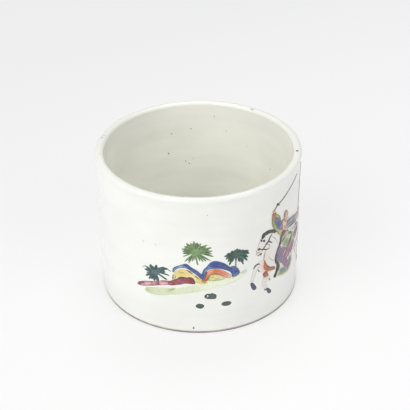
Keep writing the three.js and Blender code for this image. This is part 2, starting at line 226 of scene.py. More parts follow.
def white_glaze():
    """Off-white glaze with a breath of green, cloudy patches, fine ripples and iron specks, and painted bounce light
    inside that makes it warmer.
    """
    material, tree, shader = new_material("white_glaze")
    place = tree.place()
    bands = tree.calc("SUBTRACT", tree.noise(place, 1.0, 2.0, BAND_STRETCH), 0.5)
    clouds = tree.calc("ADD", tree.noise(place, CLOUD_SCALE, 4.0), tree.calc("MULTIPLY", bands, BAND_SHARE))
    body = tree.ramp(clouds, (0.3, srgb(237, 238, 232)), (0.7, srgb(243, 244, 239)))
    # The inside gets painted bounce light: a swirled multiply that warms its glaze and lightens it a little.
    split = tree.split(place)
    squares = [tree.calc("MULTIPLY", split[axis], split[axis]) for axis in "XY"]
    short = tree.calc("SUBTRACT", LIP_RING ** 2 + 0.5 / BOUNCE_EDGE, tree.calc("ADD", *squares))
    inside = tree.calc("MULTIPLY", short, BOUNCE_EDGE, clamp=True)
    swirls = tree.noise(place, 1.0, 3.0, SWIRL_STRETCH)
    painted_bounce_tint = tree.ramp(swirls, (0.36, (0.988, 0.978, 0.952, 1.0)), (0.62, (1.046, 1.036, 1.014, 1.0)))
    body = tree.mix(inside, body, painted_bounce_tint, "MULTIPLY")
    specks = tree.add("TexVoronoi", {"Scale": SPECK_SCALE, "Vector": place}).outputs["Distance"]
    dots = tree.ramp(specks, (0.018, grey(1.0)), (0.04, grey(0.0)))
    rare = tree.calc("GREATER_THAN", tree.noise(place, SPECK_CHANCE_SCALE, 0.0), SPECK_CHANCE)
    colour = tree.mix(tree.calc("MULTIPLY", dots, rare), body, srgb(112, 98, 84))
    gloss = tree.ramp(tree.noise(place, SMEAR_SCALE, 3.0), (0.35, grey(0.13)), (0.7, grey(0.22)))
    tree.fill(shader, {
        "Base Color": colour, "Roughness": gloss, "IOR": GLAZE_IOR, "Coat Weight": 0.25, "Coat Roughness": 0.06,
        "Normal": tree.bump(tree.noise(place, RIPPLE_SCALE, 2.0), 0.12, RIPPLE_DEPTH),
    })
    return material


def bare_paste():
    """The wiped foot: cream paste under the glaze, grey brown and darker towards the table."""
    material, tree, shader = new_material("bare_paste")
    place = tree.place()
    # The paste turns darker grey brown towards the table over its lowest few millimetres, along a noisy edge.
    shift = tree.calc("MULTIPLY", tree.noise(place, FOOT_DARK_SCALE, 5.0), FOOT_DARK_SHIFT * MM)
    height = tree.calc("ADD", tree.split(place)["Z"], shift)
    share = tree.calc("DIVIDE", height, FOOT_DARK_TOP * MM, clamp=True)
    colour = tree.ramp(
        share, (0.1, srgb(98, 92, 94)), (0.4, srgb(140, 132, 130)),
        (0.66, srgb(194, 184, 172)), (0.95, srgb(218, 212, 202)),
    )
    grain = tree.bump(tree.noise(place, GRAIN_SCALE, 3.0), 0.5, GRAIN_DEPTH)
    tree.fill(shader, {"Base Color": colour, "Roughness": 0.82, "Normal": grain})
    return material


def enamel(name, deep, pale, rim=None, roughness=0.22, streak=0.45, stretch=ALONG):
    """Overglaze enamel: paler where it is thin, pooled at its edge, streaked by the brush, glossy and rippled."""
    material, tree, shader = new_material(name)
    sketch = tree.add("UVMap", uv_map=SKETCH).outputs["UV"]
    tone = tree.add("Attribute", attribute_name=TONE).outputs["Fac"]
    streaks = tree.noise(sketch, STREAK_SCALE, 4.0, stretch)
    patches = tree.noise(sketch, PATCH_SCALE, 3.0)
    both = tree.calc("ADD", streaks, tree.calc("MULTIPLY", patches, PATCH_SHARE))
    swing = tree.calc("MULTIPLY", tree.calc("SUBTRACT", both, 0.5 + PATCH_SHARE / 2), streak * 2)
    colour = tree.mix(tree.calc("ADD", tone, swing, clamp=True), srgb(*pale), srgb(*deep))
    if rim:
        edge = tree.add("Attribute", attribute_name=RIM).outputs["Fac"]
        pooled = tree.calc("MULTIPLY", edge, tree.calc("MULTIPLY", streaks, RIM_STRENGTH), clamp=True)
        colour = tree.mix(pooled, colour, srgb(*rim))
    tree.fill(shader, {
        "Base Color": colour, "Roughness": roughness, "IOR": GLAZE_IOR, "Coat Weight": 0.2, "Coat Roughness": 0.08,
        "Normal": tree.bump(patches, 0.2, RIPPLE_DEPTH),
    })
    return material


def stroke_enamel(name, deep, pale, roughness=0.3):
    """Enamel for thin lines, calmer and duller than the washes."""
    return enamel(name, deep, pale, roughness=roughness, streak=0.3)


# Drawing on the sketch

def smooth(points, steps=4, closed=False):
    """A smooth line through the points, whatever each of them holds."""
    count = len(points)
    path = []
    for i in range(count if closed else count - 1):
        if closed:
            four = [points[(i + k - 1) % count] for k in range(4)]
        else:
            four = [points[min(max(i + k - 1, 0), count - 1)] for k in range(4)]
        a, b, c, d = (Vector(point) for point in four)
        for s in range(steps):
            t = s / steps
            path.append(0.5 * (2 * b + (c - a) * t + (2 * a - 5 * b + 4 * c - d) * t ** 2
                               + (3 * b - a - 3 * c + d) * t ** 3))
    if not closed:
        path.append(Vector(points[-1]))
    return path


def blot(u, v, width, height, wobble=0.12, corners=18, seed=1):
    """The outline of a dab of the brush."""
    edge = []
    for i in range(corners):
        angle = 2 * math.pi * i / corners
        swell = 1 + wobble * noise.noise(Vector((math.cos(angle) * 1.6, math.sin(angle) * 1.6, seed * 7.3))) * 2
        edge.append(Vector((u + width / 2 * swell * math.cos(angle), v + height / 2 * swell * math.sin(angle))))
    return edge


def ribbon(points, steps=4):
    """The outline of a stroke whose points hold a place and a width."""
    path = smooth(points, steps)
    left, right = [], []
    for i, point in enumerate(path):
        along = (path[min(i + 1, len(path) - 1)] - path[max(i - 1, 0)]).xy.normalized()
        across = Vector((-along.y, along.x)) * point.z / 2
        left.append(point.xy + across)
        right.append(point.xy - across)
    return left + right[::-1]


def flare(height):
    """How far the side leans out under the lip."""
    share = min(max((height - HEIGHT + LIP_RISE + FLARE_HEIGHT) / FLARE_HEIGHT, 0.0), 1.0)
    return LIP_FLARE * share ** 2


def out_of_true(angle, height):
    """How far the wheel left the wall inside its drawn radius, never past the frame."""
    place = Vector((math.cos(angle) * 1.1, math.sin(angle) * 1.1, height / 70))
    return -WOBBLE * (0.5 + 0.5 * noise.noise(place))


def sway(angle, height):
    """How far the rim dips at this side of the pot."""
    dip = noise.noise(Vector((math.sin(angle) * 1.4, math.cos(angle) * 1.4, 9.0)))
    return -SWAY * (0.5 + 0.5 * dip) * max(height - HEIGHT + SWAY_REACH, 0) / SWAY_REACH


def inside_radius(height):
    """The drawn radius of the inside, from the ledge up to the lip."""
    top = RADIUS + LIP_FLARE - LIP_WIDTH
    return SEAT_RADIUS + (top - SEAT_RADIUS) * (height - COVE_TOP) / (HEIGHT - LIP_RISE - COVE_TOP)


def around(angle, radius, height):
    return Vector((radius * math.sin(angle), -radius * math.cos(angle), height)) * MM


def on_wall(u, v, lift=0.0):
    angle, height = u / RADIUS, v + SKETCH_FOOT
    return around(angle, RADIUS + flare(height) + out_of_true(angle, height) + lift, height)


def on_rocks(u, v, lift=0.0):
    """Where the pines stand, a little further up the wall."""
    return on_wall(u, v + PINE_RISE, lift)


def on_inside(u, v, lift=0.0):
    angle = u / RADIUS
    return around(angle, inside_radius(v) + out_of_true(angle, v) - lift, v)


def on_lip(u, v, lift=0.0):
    """v runs over the lip from its outer side, in millimetres."""
    angle = u / RADIUS
    turn = v / LIP_WIDTH * 2
    centre = RADIUS + LIP_FLARE - LIP_WIDTH / 2 + out_of_true(angle, HEIGHT)
    height = HEIGHT - LIP_RISE + (LIP_RISE + lift) * math.sin(turn)
    return around(angle, centre + (LIP_WIDTH / 2 + lift) * math.cos(turn), height + sway(angle, height))


def distances(places, line, closed):
    """How far each place is from a line of points."""
    line = np.array([(p[0], p[1]) for p in line])
    starts, ends = (line, np.roll(line, -1, axis=0)) if closed else (line[:-1], line[1:])
    spans = ends - starts
    lengths = np.maximum((spans ** 2).sum(axis=1), 1e-12)
    gaps = places[:, None, :] - starts[None]
    share = np.clip((gaps * spans[None]).sum(axis=2) / lengths, 0, 1)
    nearest = starts[None] + share[..., None] * spans[None]
    return np.sqrt(((places[:, None, :] - nearest) ** 2).sum(axis=2)).min(axis=1)


def close_below(mesh, faces):
    """Gives a skin of enamel its underside, sunk a little into the glaze."""
    doubled = bmesh.ops.extrude_face_region(mesh, geom=faces)["geom"]
    for item in doubled:
        if isinstance(item, bmesh.types.BMVert):
            item.co.z = -SUNK


def new_drawing():
    mesh = bmesh.new()
    mesh.verts.layers.float.new(TONE)
    mesh.verts.layers.float.new(RIM)
    return mesh


def wash(mesh, outline, level=0, tone=1.0, fade=None, pools=(), soft=0.0, relief=WASH_RELIEF, grid=WASH_GRID):
    """An area of enamel, domed from its edge, paler to its fade line or soft edge, deeper or paler in its pools."""
    tones = mesh.verts.layers.float[TONE]
    rims = mesh.verts.layers.float[RIM]
    known = set(mesh.verts)
    mesh.faces.new([mesh.verts.new((p[0], p[1], 0.0)) for p in outline])
    for axis in (0, 1):
        low = min(p[axis] for p in outline)
        high = max(p[axis] for p in outline)
        normal = Vector((1, 0, 0)) if axis == 0 else Vector((0, 1, 0))
        place = math.floor(low / grid) * grid + grid * 0.37
        while place < high:
            if place > low + 0.02:
                mine = [v for v in mesh.verts if v not in known]
                edges = {e for v in mine for e in v.link_edges}
                faces = {f for v in mine for f in v.link_faces}
                bmesh.ops.bisect_plane(mesh, geom=mine + list(edges) + list(faces),
                                       plane_co=normal * place, plane_no=normal, dist=0.004)
            place += grid
    mine = [v for v in mesh.verts if v not in known]
    faces = list({f for v in mine for f in v.link_faces})
    places = np.array([(v.co.x, v.co.y) for v in mine])
    inward = distances(places, outline, True)
    depths = np.full(len(mine), float(tone))
    if fade:
        depths *= np.clip(distances(places, fade[0], False) / fade[1], 0, 1)
    for u, v, reach, change in pools:
        depths += change * np.exp(-((places[:, 0] - u) ** 2 + (places[:, 1] - v) ** 2) / reach ** 2)
    if soft:
        depths = np.clip(depths, 0, 1.2) * np.clip(inward / soft, 0, 1) - 0.2 * (inward < 0.01)
    for i, vertex in enumerate(mine):
        rise = min(inward[i] / WASH_SHOULDER, 1.0)
        pool = 0.95 + 0.1 * noise.noise(Vector((vertex.co.x / 4, vertex.co.y / 4, 3.1)))
        vertex.co.z = level * LEVEL_STEP + relief * pool * math.sqrt(1 - (1 - rise) ** 2)
        vertex[tones] = depths[i]
        vertex[rims] = max(1 - inward[i] / RIM_WIDTH, 0.0)
    close_below(mesh, faces)


def line(mesh, points, level=0, tone=1.0, tip=None, relief=LINE_RELIEF, steps=4, over=WASH_RELIEF + 0.02):
    """One stroke: a low ridge through points that each hold a place and a width, its tone changing to the tip."""
    tones = mesh.verts.layers.float[TONE]
    path = smooth(points, steps)
    lift = level * LEVEL_STEP + over
    frames = []
    for i, point in enumerate(path):
        along = path[min(i + 1, len(path) - 1)] - path[max(i - 1, 0)]
        turn = Matrix.Rotation(math.atan2(along.y, along.x), 4, "Z")
        size = Matrix.Diagonal((1.0, max(point.z, LINE_MIN) / 2, relief, 1.0))
        frames.append(Matrix.Translation((point.x, point.y, lift)) @ turn @ size)
    rib = [mesh.verts.new(frames[0] @ Vector(place)) for place in ((0, -1, 0), (0, 0, 1), (0, 1, 0))]
    ribs = [rib]
    edges = [mesh.edges.new(rib[k:k + 2]) for k in range(2)]
    faces = []
    for before, after in zip(frames, frames[1:]):
        grown = bmesh.ops.extrude_edge_only(mesh, edges=edges)["geom"]
        rib = [item for item in grown if isinstance(item, bmesh.types.BMVert)]
        faces += [item for item in grown if isinstance(item, bmesh.types.BMFace)]
        edges = [item for item in grown if isinstance(item, bmesh.types.BMEdge)
                 and all(end in rib for end in item.verts)]
        bmesh.ops.transform(mesh, matrix=after @ before.inverted(), verts=rib)
        ribs.append(rib)
    for i, rib in enumerate(ribs):
        for vertex in rib:
            vertex[tones] = tone if tip is None else tone + (tip - tone) * i / (len(ribs) - 1)
    close_below(mesh, faces)


def lines(mesh, strokes, level=0, tone=1.0, **look):
    for points in strokes:
        line(mesh, points, level, tone, **look)


def contour(mesh, outline, width=0.4, level=0, tone=1.0, start=0.0, end=1.0):
    """A line that follows part of an outline, swelling and thinning as it goes."""
    count = len(outline)
    first, last = int(start * count), int(end * count)
    points = []
    for i in range(first, last + 1):
        point = outline[i % count]
        swell = 0.75 + 0.5 * noise.noise(Vector((i * 0.35, count, width * 9)))
        points.append((point[0], point[1], width * swell))
    line(mesh, points, level, tone, steps=1)


def finish_piece(name, mesh, material, nodes=(), bend=on_wall):
    """Makes the drawn mesh a piece of the pot, bent round the wall if it is painted there."""
    if bend:
        sketch = mesh.loops.layers.uv.new(SKETCH)
        for face in mesh.faces:
            for corner in face.loops:
                corner[sketch].uv = (corner.vert.co.x / SKETCH_UNIT, corner.vert.co.y / SKETCH_UNIT)
        for vertex in mesh.verts:
            vertex.co = bend(*vertex.co)
    bmesh.ops.recalc_face_normals(mesh, faces=mesh.faces)
    data = bpy.data.meshes.new(name)
    mesh.to_mesh(data)
    mesh.free()
    for polygon in data.polygons:
        polygon.use_smooth = True
    data.materials.append(material)
    piece = bpy.data.objects.new(name, data)
    bpy.context.scene.collection.objects.link(piece)
    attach(piece, "root")
    if nodes:
        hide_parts(*nodes)


def closed(*corners):
    return smooth(corners, closed=True)


def area(name, outline, paint, slot, nodes=None, **look):
    """A wash as a piece of its own, in place of the frame's enamel of that name."""
    mesh = new_drawing()
    wash(mesh, outline, **look)
    finish_piece(name, mesh, PAINTS[paint], [f"enamel_{name}"] if nodes is None else nodes)


def strokes(name, paint, slot, *groups, **look):
    """A piece of free strokes, in groups of a level, a tone and the strokes."""
    mesh = new_drawing()
    for level, tone, rows in groups:
        lines(mesh, rows, level, tone, **look)
    finish_piece(name, mesh, PAINTS[paint])


# The turned body

def spun(profile, closed):
    """A profile of radius and height, in millimetres, spun round the pot's axis."""
    mesh = bmesh.new()
    corners = [mesh.verts.new((radius, 0.0, height)) for radius, height in profile]
    pairs = list(zip(corners, corners[1:])) + ([(corners[-1], corners[0])] if closed else [])
    edges = [mesh.edges.new(pair) for pair in pairs]
    bmesh.ops.spin(mesh, geom=corners + edges, cent=(0, 0, 0), axis=(0, 0, 1), dvec=(0, 0, 0),
                   angle=2 * math.pi, steps=TURN_STEPS, use_merge=True)
    bmesh.ops.remove_doubles(mesh, verts=mesh.verts, dist=0.0005)
    return mesh


def ease(start, end, steps):
    """Heights or radii from start to end in even steps, both ends included."""
    return [start + (end - start) * i / steps for i in range(steps + 1)]


def arc_points(centre_r, centre_z, width, rise, start, end, steps):
    return [(centre_r + width * math.cos(a), centre_z + rise * math.sin(a)) for a in ease(start, end, steps)]


def shape_body(mesh):
    """Moves the spun points to where throwing and firing left them."""
    middle = (RADIUS + SEAT_RADIUS) / 2
    for vertex in mesh.verts:
        x, y, height = vertex.co
        radius = math.hypot(x, y)
        angle = math.atan2(x, -y)
        if radius > 1:
            moved = radius + out_of_true(angle, height)
            if radius < middle:
                above = min(max((height - COVE_TOP) / RING_FADE_LOW, 0), 1)
                below = min(max((HEIGHT - RING_STOP - height) / RING_FADE_HIGH, 0), 1)
                place = Vector((math.cos(angle) * 0.5, math.sin(angle) * 0.5, height / RING_PITCH + angle / 6))
                moved += RING_DEPTH * noise.noise(place) * (above * below) * min((math.pi - abs(angle)) * 4, 1)
            x, y = x * moved / radius, y * moved / radius
        vertex.co = Vector((x, y, height + sway(angle, height))) * MM


def make_wall(glaze):
    lip_base = HEIGHT - LIP_RISE
    outer = [(RADIUS + flare(z), z) for z in ease(GLAZE_EDGE + TUCK, lip_base, 60)][1:-1]
    lip = arc_points(RADIUS + LIP_FLARE - LIP_WIDTH / 2, lip_base, LIP_WIDTH / 2, LIP_RISE, 0, math.pi, 20)
    inner = [(inside_radius(z), z) for z in ease(lip_base, COVE_TOP, 80)][1:]
    bead = arc_points(RADIUS - BEAD, GLAZE_EDGE + BEAD, BEAD, BEAD, -math.pi / 2, 0, 5)
    foot_inner = SEAT_RADIUS - LEDGE_WIDTH
    profile = [
        (foot_inner + 0.2, SHELL_FOOT), (RADIUS - TUCK, SHELL_FOOT), (RADIUS - TUCK, GLAZE_EDGE),
        *bead, *outer, *lip, *inner,
        (SEAT_RADIUS, FOOT_RECESS), (foot_inner, FOOT_RECESS), (foot_inner, SHELL_HEEL),
    ]
    mesh = spun(profile, closed=True)
    shape_body(mesh)
    finish_piece("glazed_wall", mesh, glaze, ["wall"], bend=None)


def make_foot(paste):
    foot_inner = SEAT_RADIUS - LEDGE_WIDTH
    bare = RADIUS - GLAZE_THICKNESS - WOBBLE
    profile = [
        (foot_inner + FOOT_BEVEL, 0), (bare - FOOT_BEVEL, 0),
        *arc_points(bare - FOOT_BEVEL, FOOT_BEVEL, FOOT_BEVEL, FOOT_BEVEL, -math.pi / 2, 0, 5)[1:],
        (bare, GLAZE_EDGE + 0.4), (bare - 2, GLAZE_EDGE + 0.4), (foot_inner + 1, GLAZE_EDGE),
        (foot_inner, GLAZE_EDGE), (foot_inner, FOOT_BEVEL),
    ]
    mesh = spun(profile, closed=True)
    for vertex in mesh.verts:
        vertex.co *= MM
    finish_piece("bare_foot", mesh, paste, bend=None)


def make_base(glaze):
    edge = SEAT_RADIUS + BASE_OVERLAP
    centre = edge - COVE_EDGE - COVE_RADIUS
    floor = COVE_TOP - COVE_RADIUS
    cove = arc_points(centre, COVE_TOP, COVE_RADIUS, -COVE_RADIUS, 0, math.pi / 2, 10)
    across = [(r, floor + FLOOR_BOW * math.cos(r / centre * math.pi / 2)) for r in ease(centre, 0, 24)][1:]
    under = [(r, FOOT_RECESS + UNDER_BOW * math.cos(r / edge * math.pi / 2)) for r in ease(0, edge - 1, 20)]
    profile = [*under, (edge - BASE_ROUNDING, FOOT_RECESS + 0.4), (edge, COVE_TOP - 0.4),
               (edge - BASE_ROUNDING, COVE_TOP), *cove, *across]
    mesh = spun(profile, closed=False)
    shape_body(mesh)
    finish_piece("glazed_base", mesh, glaze, ["base_plate"], bend=None)


# The rocks and banks

ROCKS = {
    "crimson": closed(
        (-26.4, 46.2), (-26, 48.6), (-24.6, 49.9), (-22.4, 50.9), (-20.4, 52.1), (-18.2, 53.2), (-16.4, 54.8),
        (-13.4, 55.2), (-11, 54.8), (-8.6, 55.3), (-6.4, 54.6), (-5, 52.4), (-3.9, 50.6), (-4.6, 48.7), (-8, 48.9),
        (-12, 49), (-15, 48), (-19.6, 46.7), (-23.6, 45.7),
    ),
    "rose": closed(
        (-55.6, 37.6), (-52, 37.4), (-48.6, 38.3), (-44, 39.7), (-39, 41.5), (-34.6, 43.1), (-29, 44.8),
        (-24.6, 46.2), (-24, 48.6), (-25.6, 49.8), (-29, 49.2), (-34, 47.9), (-40, 45.9), (-45.6, 44.2),
        (-50.4, 42.3), (-53.8, 39.8),
    ),
    "green": closed(
        (-48, 36.2), (-46.6, 38), (-43, 39), (-39, 40.2), (-33, 41.6), (-26, 42.9), (-20, 43.9), (-15, 45.6),
        (-9, 47.3), (-3, 48.3), (5, 49.8), (14, 51), (24, 52.2), (33, 54.2), (39, 55.6), (36, 51.6), (30, 48),
        (22, 46), (12, 43.8), (2, 41.7), (-6, 40.1), (-14, 38.2), (-22, 36.4), (-30, 34.7), (-37, 33.4), (-43, 32.9),
        (-46.8, 33.9),
    ),
    "yellow": closed(
        (-22.4, 50.6), (-22, 54.5), (-20.8, 58.6), (-18.6, 61.2), (-15.6, 62.6), (-12, 62.9), (-9, 61.8),
        (-6.4, 59.6), (-3.8, 57.6), (-1.4, 55.2), (0.8, 53), (3, 51.4), (6, 50.2), (4.4, 49), (0, 48.8), (-4, 50),
        (-10, 50.4), (-18, 49.4), (-21.6, 49.4),
    ),
    "orange": closed(
        (1.4, 52), (2.6, 55.4), (4.6, 59.4), (7, 61.8), (10, 62.8), (13.6, 62.8), (17.4, 61.4), (20.8, 59),
        (23.6, 56.6), (25.4, 53.8), (24.6, 52), (21.6, 52.6), (18.4, 54.6), (15.4, 56.8), (12, 58), (8.8, 57.6),
        (7.2, 55.4), (6.2, 52.6), (4.4, 51.2), (2.6, 51),
    ),
    "boulder": closed(
        (6.6, 51.8), (7.4, 55), (9, 57), (12, 57.4), (15, 56.3), (18, 54.4), (20.6, 52.4), (17, 51.4), (13, 51.3),
        (9, 51.2),
    ),
    "blue": closed(
        (-22.2, 59.6), (-21.8, 61.6), (-20.6, 63.6), (-18.4, 65.3), (-15.2, 67), (-12.2, 68.2), (-9.8, 67.8),
        (-8.2, 65.9), (-5.6, 64.2), (-2.8, 62.2), (-0.6, 60.2), (1.2, 58.6), (2, 60.8), (3.4, 63.2), (5.6, 65.2),
        (6.8, 67.8), (8.8, 69.8), (11.6, 70.5), (14.6, 70), (17.6, 68.5), (20.4, 66.8), (22.4, 64.6), (24.4, 63),
        (27.4, 63.2), (30.2, 61.2), (31.9, 58.6), (32.9, 56), (32, 54), (29, 53), (26.2, 52.6), (25.7, 55),
        (24.7, 57.6), (22, 59.8), (18.8, 61.4), (15.4, 62.7), (11.4, 63.2), (8, 63), (5.4, 61.4), (4.2, 58.4),
        (3, 55), (1.8, 53), (0.4, 54.6), (-1.6, 57), (-3.8, 58.8), (-6, 60.6), (-8.2, 62.2), (-10, 63.4), (-12.6, 64),
        (-16, 63.7), (-18.8, 62.4), (-20.6, 60.2), (-21.4, 58.8),
    ),
}
CRIMSON_TOP = [
    (-24.6, 49.6), (-22.4, 50.6), (-20.4, 51.9), (-18.2, 53), (-16.4, 54.6), (-13.4, 55), (-11, 54.6), (-8.6, 55.1),
    (-6.4, 54.4), (-5, 52.4), (-4.2, 50.6),
]


def widths(points, *sizes):
    """Gives each point of a stroke its width, run evenly through the sizes."""
    placed = []
    for i, point in enumerate(points):
        share = i / (len(points) - 1) * (len(sizes) - 1)
        first = min(int(share), len(sizes) - 2)
        placed.append((*point, sizes[first] + (sizes[first + 1] - sizes[first]) * (share - first)))
    return placed


def paint_rocks():
    area("green_bank", ROCKS["green"], "pale_green", "pale_green", relief=0.05, tone=0.42, soft=0.9, pools=(
        (-46, 35.4, 2.6, 0.45), (-37, 38, 6, 0.05), (-30, 38, 4, 0.0), (-42, 34, 2.4, 0.15), (-26, 41.4, 3, 0.2),
        (-12, 42, 8, -0.1), (6, 46, 9, -0.3), (22, 49, 10, -0.42), (36, 54, 8, -0.42),
    ))
    area("rose_bank", ROCKS["rose"], "rose", "rose", tone=0.55, pools=(
        (-55.4, 38.4, 2.4, 0.8), (-47, 41, 3, -0.25), (-41, 44.2, 1.4, 0.4), (-42.6, 42, 1.6, -0.4),
        (-35.4, 45.4, 1.8, 0.8), (-31.4, 46.6, 2.4, -0.9), (-27.6, 46.6, 1.6, -0.3), (-25, 48.6, 2, 0.6),
        (-50.6, 39.6, 1.4, -0.4), (-45, 40.4, 1.2, -0.3), (-38.4, 43.6, 1.2, -0.4),
    ))
    area("yellow_rock", ROCKS["yellow"], "yellow", "yellow", tone=0.75, level=0.6, fade=(CRIMSON_TOP, 2.2), pools=(
        (-16, 59.6, 3, 0.25), (-0.4, 52, 2.6, 0.4), (-20.6, 55, 2, 0.1), (-6.4, 56.4, 1.6, -0.6), (-12, 58.4, 2, 0.2),
    ))
    area("blue_ridge", ROCKS["blue"], "blue", "blue", level=1.6, tone=0.78, pools=(
        (-11.6, 66.8, 2.4, 0.4), (-16, 64.4, 2.4, -0.8), (-20.6, 61.6, 2.6, -0.8), (-12.2, 64.2, 1.6, -0.8),
        (-8, 64.6, 1.6, 0.3), (-4, 61.4, 2.4, 0.15), (1.2, 57, 2.2, 0.35), (4.4, 62.2, 1.8, -0.45),
        (12.6, 67.4, 4, 0.4), (8, 64, 1.6, -0.3), (17.6, 66, 3, 0.4), (22, 62.6, 2.2, 0.4), (25, 60, 1.8, 0.3),
        (29.6, 57.6, 2.6, 0.25), (29, 53.6, 1.4, -0.4), (4.6, 58.4, 1.2, -0.2), (12, 63.4, 1.4, -0.2),
    ))
    area("orange_rock", ROCKS["orange"], "orange", "orange", level=0.6, tone=0.85, soft=0.5, pools=(
        (24.4, 53.6, 3, -0.9), (6.4, 60.6, 1.6, -0.5), (9.4, 61.8, 1.8, -0.4), (13, 60.4, 3, 0.2),
        (3.4, 54, 2.4, 0.5), (18.4, 60.4, 2, -0.2), (21, 56, 2, -0.1),
    ))
    area("yellow_boulder", ROCKS["boulder"], "boulder", "yellow", level=1.6, tone=0.6, pools=(
        (9.6, 55.6, 1.8, 0.3), (17, 53.2, 2.4, -0.5), (12, 51.6, 1.4, -0.2)))
    area("crimson_rock", ROCKS["crimson"], "crimson", "crimson", level=1.6, tone=0.85, pools=(
        (-21, 49.4, 1.6, -0.15), (-17.6, 51.6, 1.4, -0.45), (-14.6, 52.6, 1.6, -0.1), (-8, 52.4, 2.4, 0.2),
        (-13.4, 49, 1.2, -0.7), (-10.6, 49.6, 1, -0.2), (-5.4, 50, 1, -0.2), (-25.6, 47.4, 1.6, -0.4),
        (-19, 47.4, 1.4, -0.3),
    ))

    brown = new_drawing()
    line(brown, widths(CRIMSON_TOP, 0.3, 0.8, 1.2, 1.0, 1.2, 0.7), 1.6, 0.9)
    lines(brown, (
        [(-14.6, 53.6, 0.2), (-13.4, 52, 0.5), (-12.6, 50.4, 0.2)],
        [(-9.4, 53.8, 0.2), (-8.4, 52, 0.5), (-8.6, 50.4, 0.2)],
        [(-20.4, 51, 0.2), (-18.4, 49.8, 0.6), (-16.4, 49.6, 0.2)],
    ), 1.7, 0.5)
    lines(brown, (
        [(-10.8, 62.3, 0.5), (-8.6, 60.9, 1.2), (-6.2, 58.7, 0.6)],
        [(-4.4, 57, 0.4), (-2.6, 55.4, 0.8), (-1, 53.8, 0.4)], [(0.6, 52, 0.3), (2.2, 50.8, 0.7), (4.4, 50, 0.3)],
        [(-21.9, 56.6, 0.4), (-22.2, 53.4, 0.9), (-22, 50.6, 0.4)],
        [(-19.8, 56.2, 0.2), (-20.4, 53.4, 0.6), (-20.6, 51, 0.3)],
        [(-17.6, 60.4, 0.2), (-15.4, 59.4, 0.5), (-12.6, 59.8, 0.2)],
    ), 0.7, 0.5)
    finish_piece("rock_lines", brown, PAINTS["brown_line"])
    strokes("orange_lines", "rust_line", "orange", (0.7, 0.7, (
        [(2, 51.8, 0.8), (2.8, 53.6, 2.2), (4, 56.8, 1.8), (6, 60.4, 0.6)],
        [(3.6, 51.2, 0.8), (5.2, 52.6, 1.9), (6.4, 55, 1.0), (8.2, 57.4, 0.6)],
        [(8.6, 57.7, 0.6), (12, 58.2, 1.1), (15.6, 57, 0.8), (19.2, 54.4, 0.3)],
    )), (0.7, 0.2, (
        [(10.4, 60.6, 0.2), (14.6, 60.4, 0.8), (19, 57.8, 0.3)],
        [(19.8, 57, 0.2), (22, 55.2, 0.6), (23.4, 53.4, 0.3)],
    )))

    strokes("ridge_lines", "navy_line", "blue", (1.6, 0.75, (
        widths([(-22.1, 59.4), (-21.6, 62), (-20.2, 63.9), (-17.6, 65.6)], 0.5, 0.9, 0.8, 0.4),
        widths([(-10, 67.4), (-8.6, 65.8), (-7, 64), (-5.4, 63)], 0.5, 1.3, 1.1, 0.5),
        widths([(18.4, 67.6), (20.2, 66), (21.8, 64.2), (23.2, 62.6), (24.4, 61.4)], 0.4, 1.2, 1.5, 1.2, 0.5),
        widths([(25.2, 60.6), (25.4, 58), (25.9, 55.2)], 0.4, 0.8, 0.5),
    )), (1.6, 0.45, (
        widths([(-4.6, 63.2), (-2.6, 61.6), (-0.6, 59.6), (1, 57.8)], 0.4, 0.8, 0.8, 0.4),
        widths([(-7.6, 61.8), (-5.4, 60.4), (-3.4, 58.8)], 0.3, 0.7, 0.3),
        widths([(-3.6, 58.9), (-1.6, 57), (0.2, 54.9), (1.8, 53.3)], 0.4, 0.7, 0.8, 0.4),
        widths([(1.8, 59.4), (3.2, 62.6), (5.2, 64.8), (6.6, 67)], 0.5, 1.0, 0.9, 0.4),
        widths([(3.4, 55.6), (4.3, 58.4), (5.2, 61)], 0.3, 0.6, 0.3),
        widths([(26.4, 52.9), (29, 53.3), (31.8, 54.4)], 0.5, 1.0, 0.5),
        widths([(30, 61), (31.6, 58.4), (32.4, 56)], 0.3, 0.7, 0.3),
        widths([(16, 68.6), (17, 66), (18.6, 63.6)], 0.3, 0.9, 0.4),
        widths([(-0.8, 58.8), (0.8, 56.8), (2.2, 54)], 0.5, 1.6, 1.2),
        widths([(18, 65.4), (20.4, 63.6), (23, 61)], 0.5, 1.6, 0.6),
        widths([(14, 66.4), (16.6, 65.6), (19, 64)], 0.4, 1.1, 0.4),
    )))

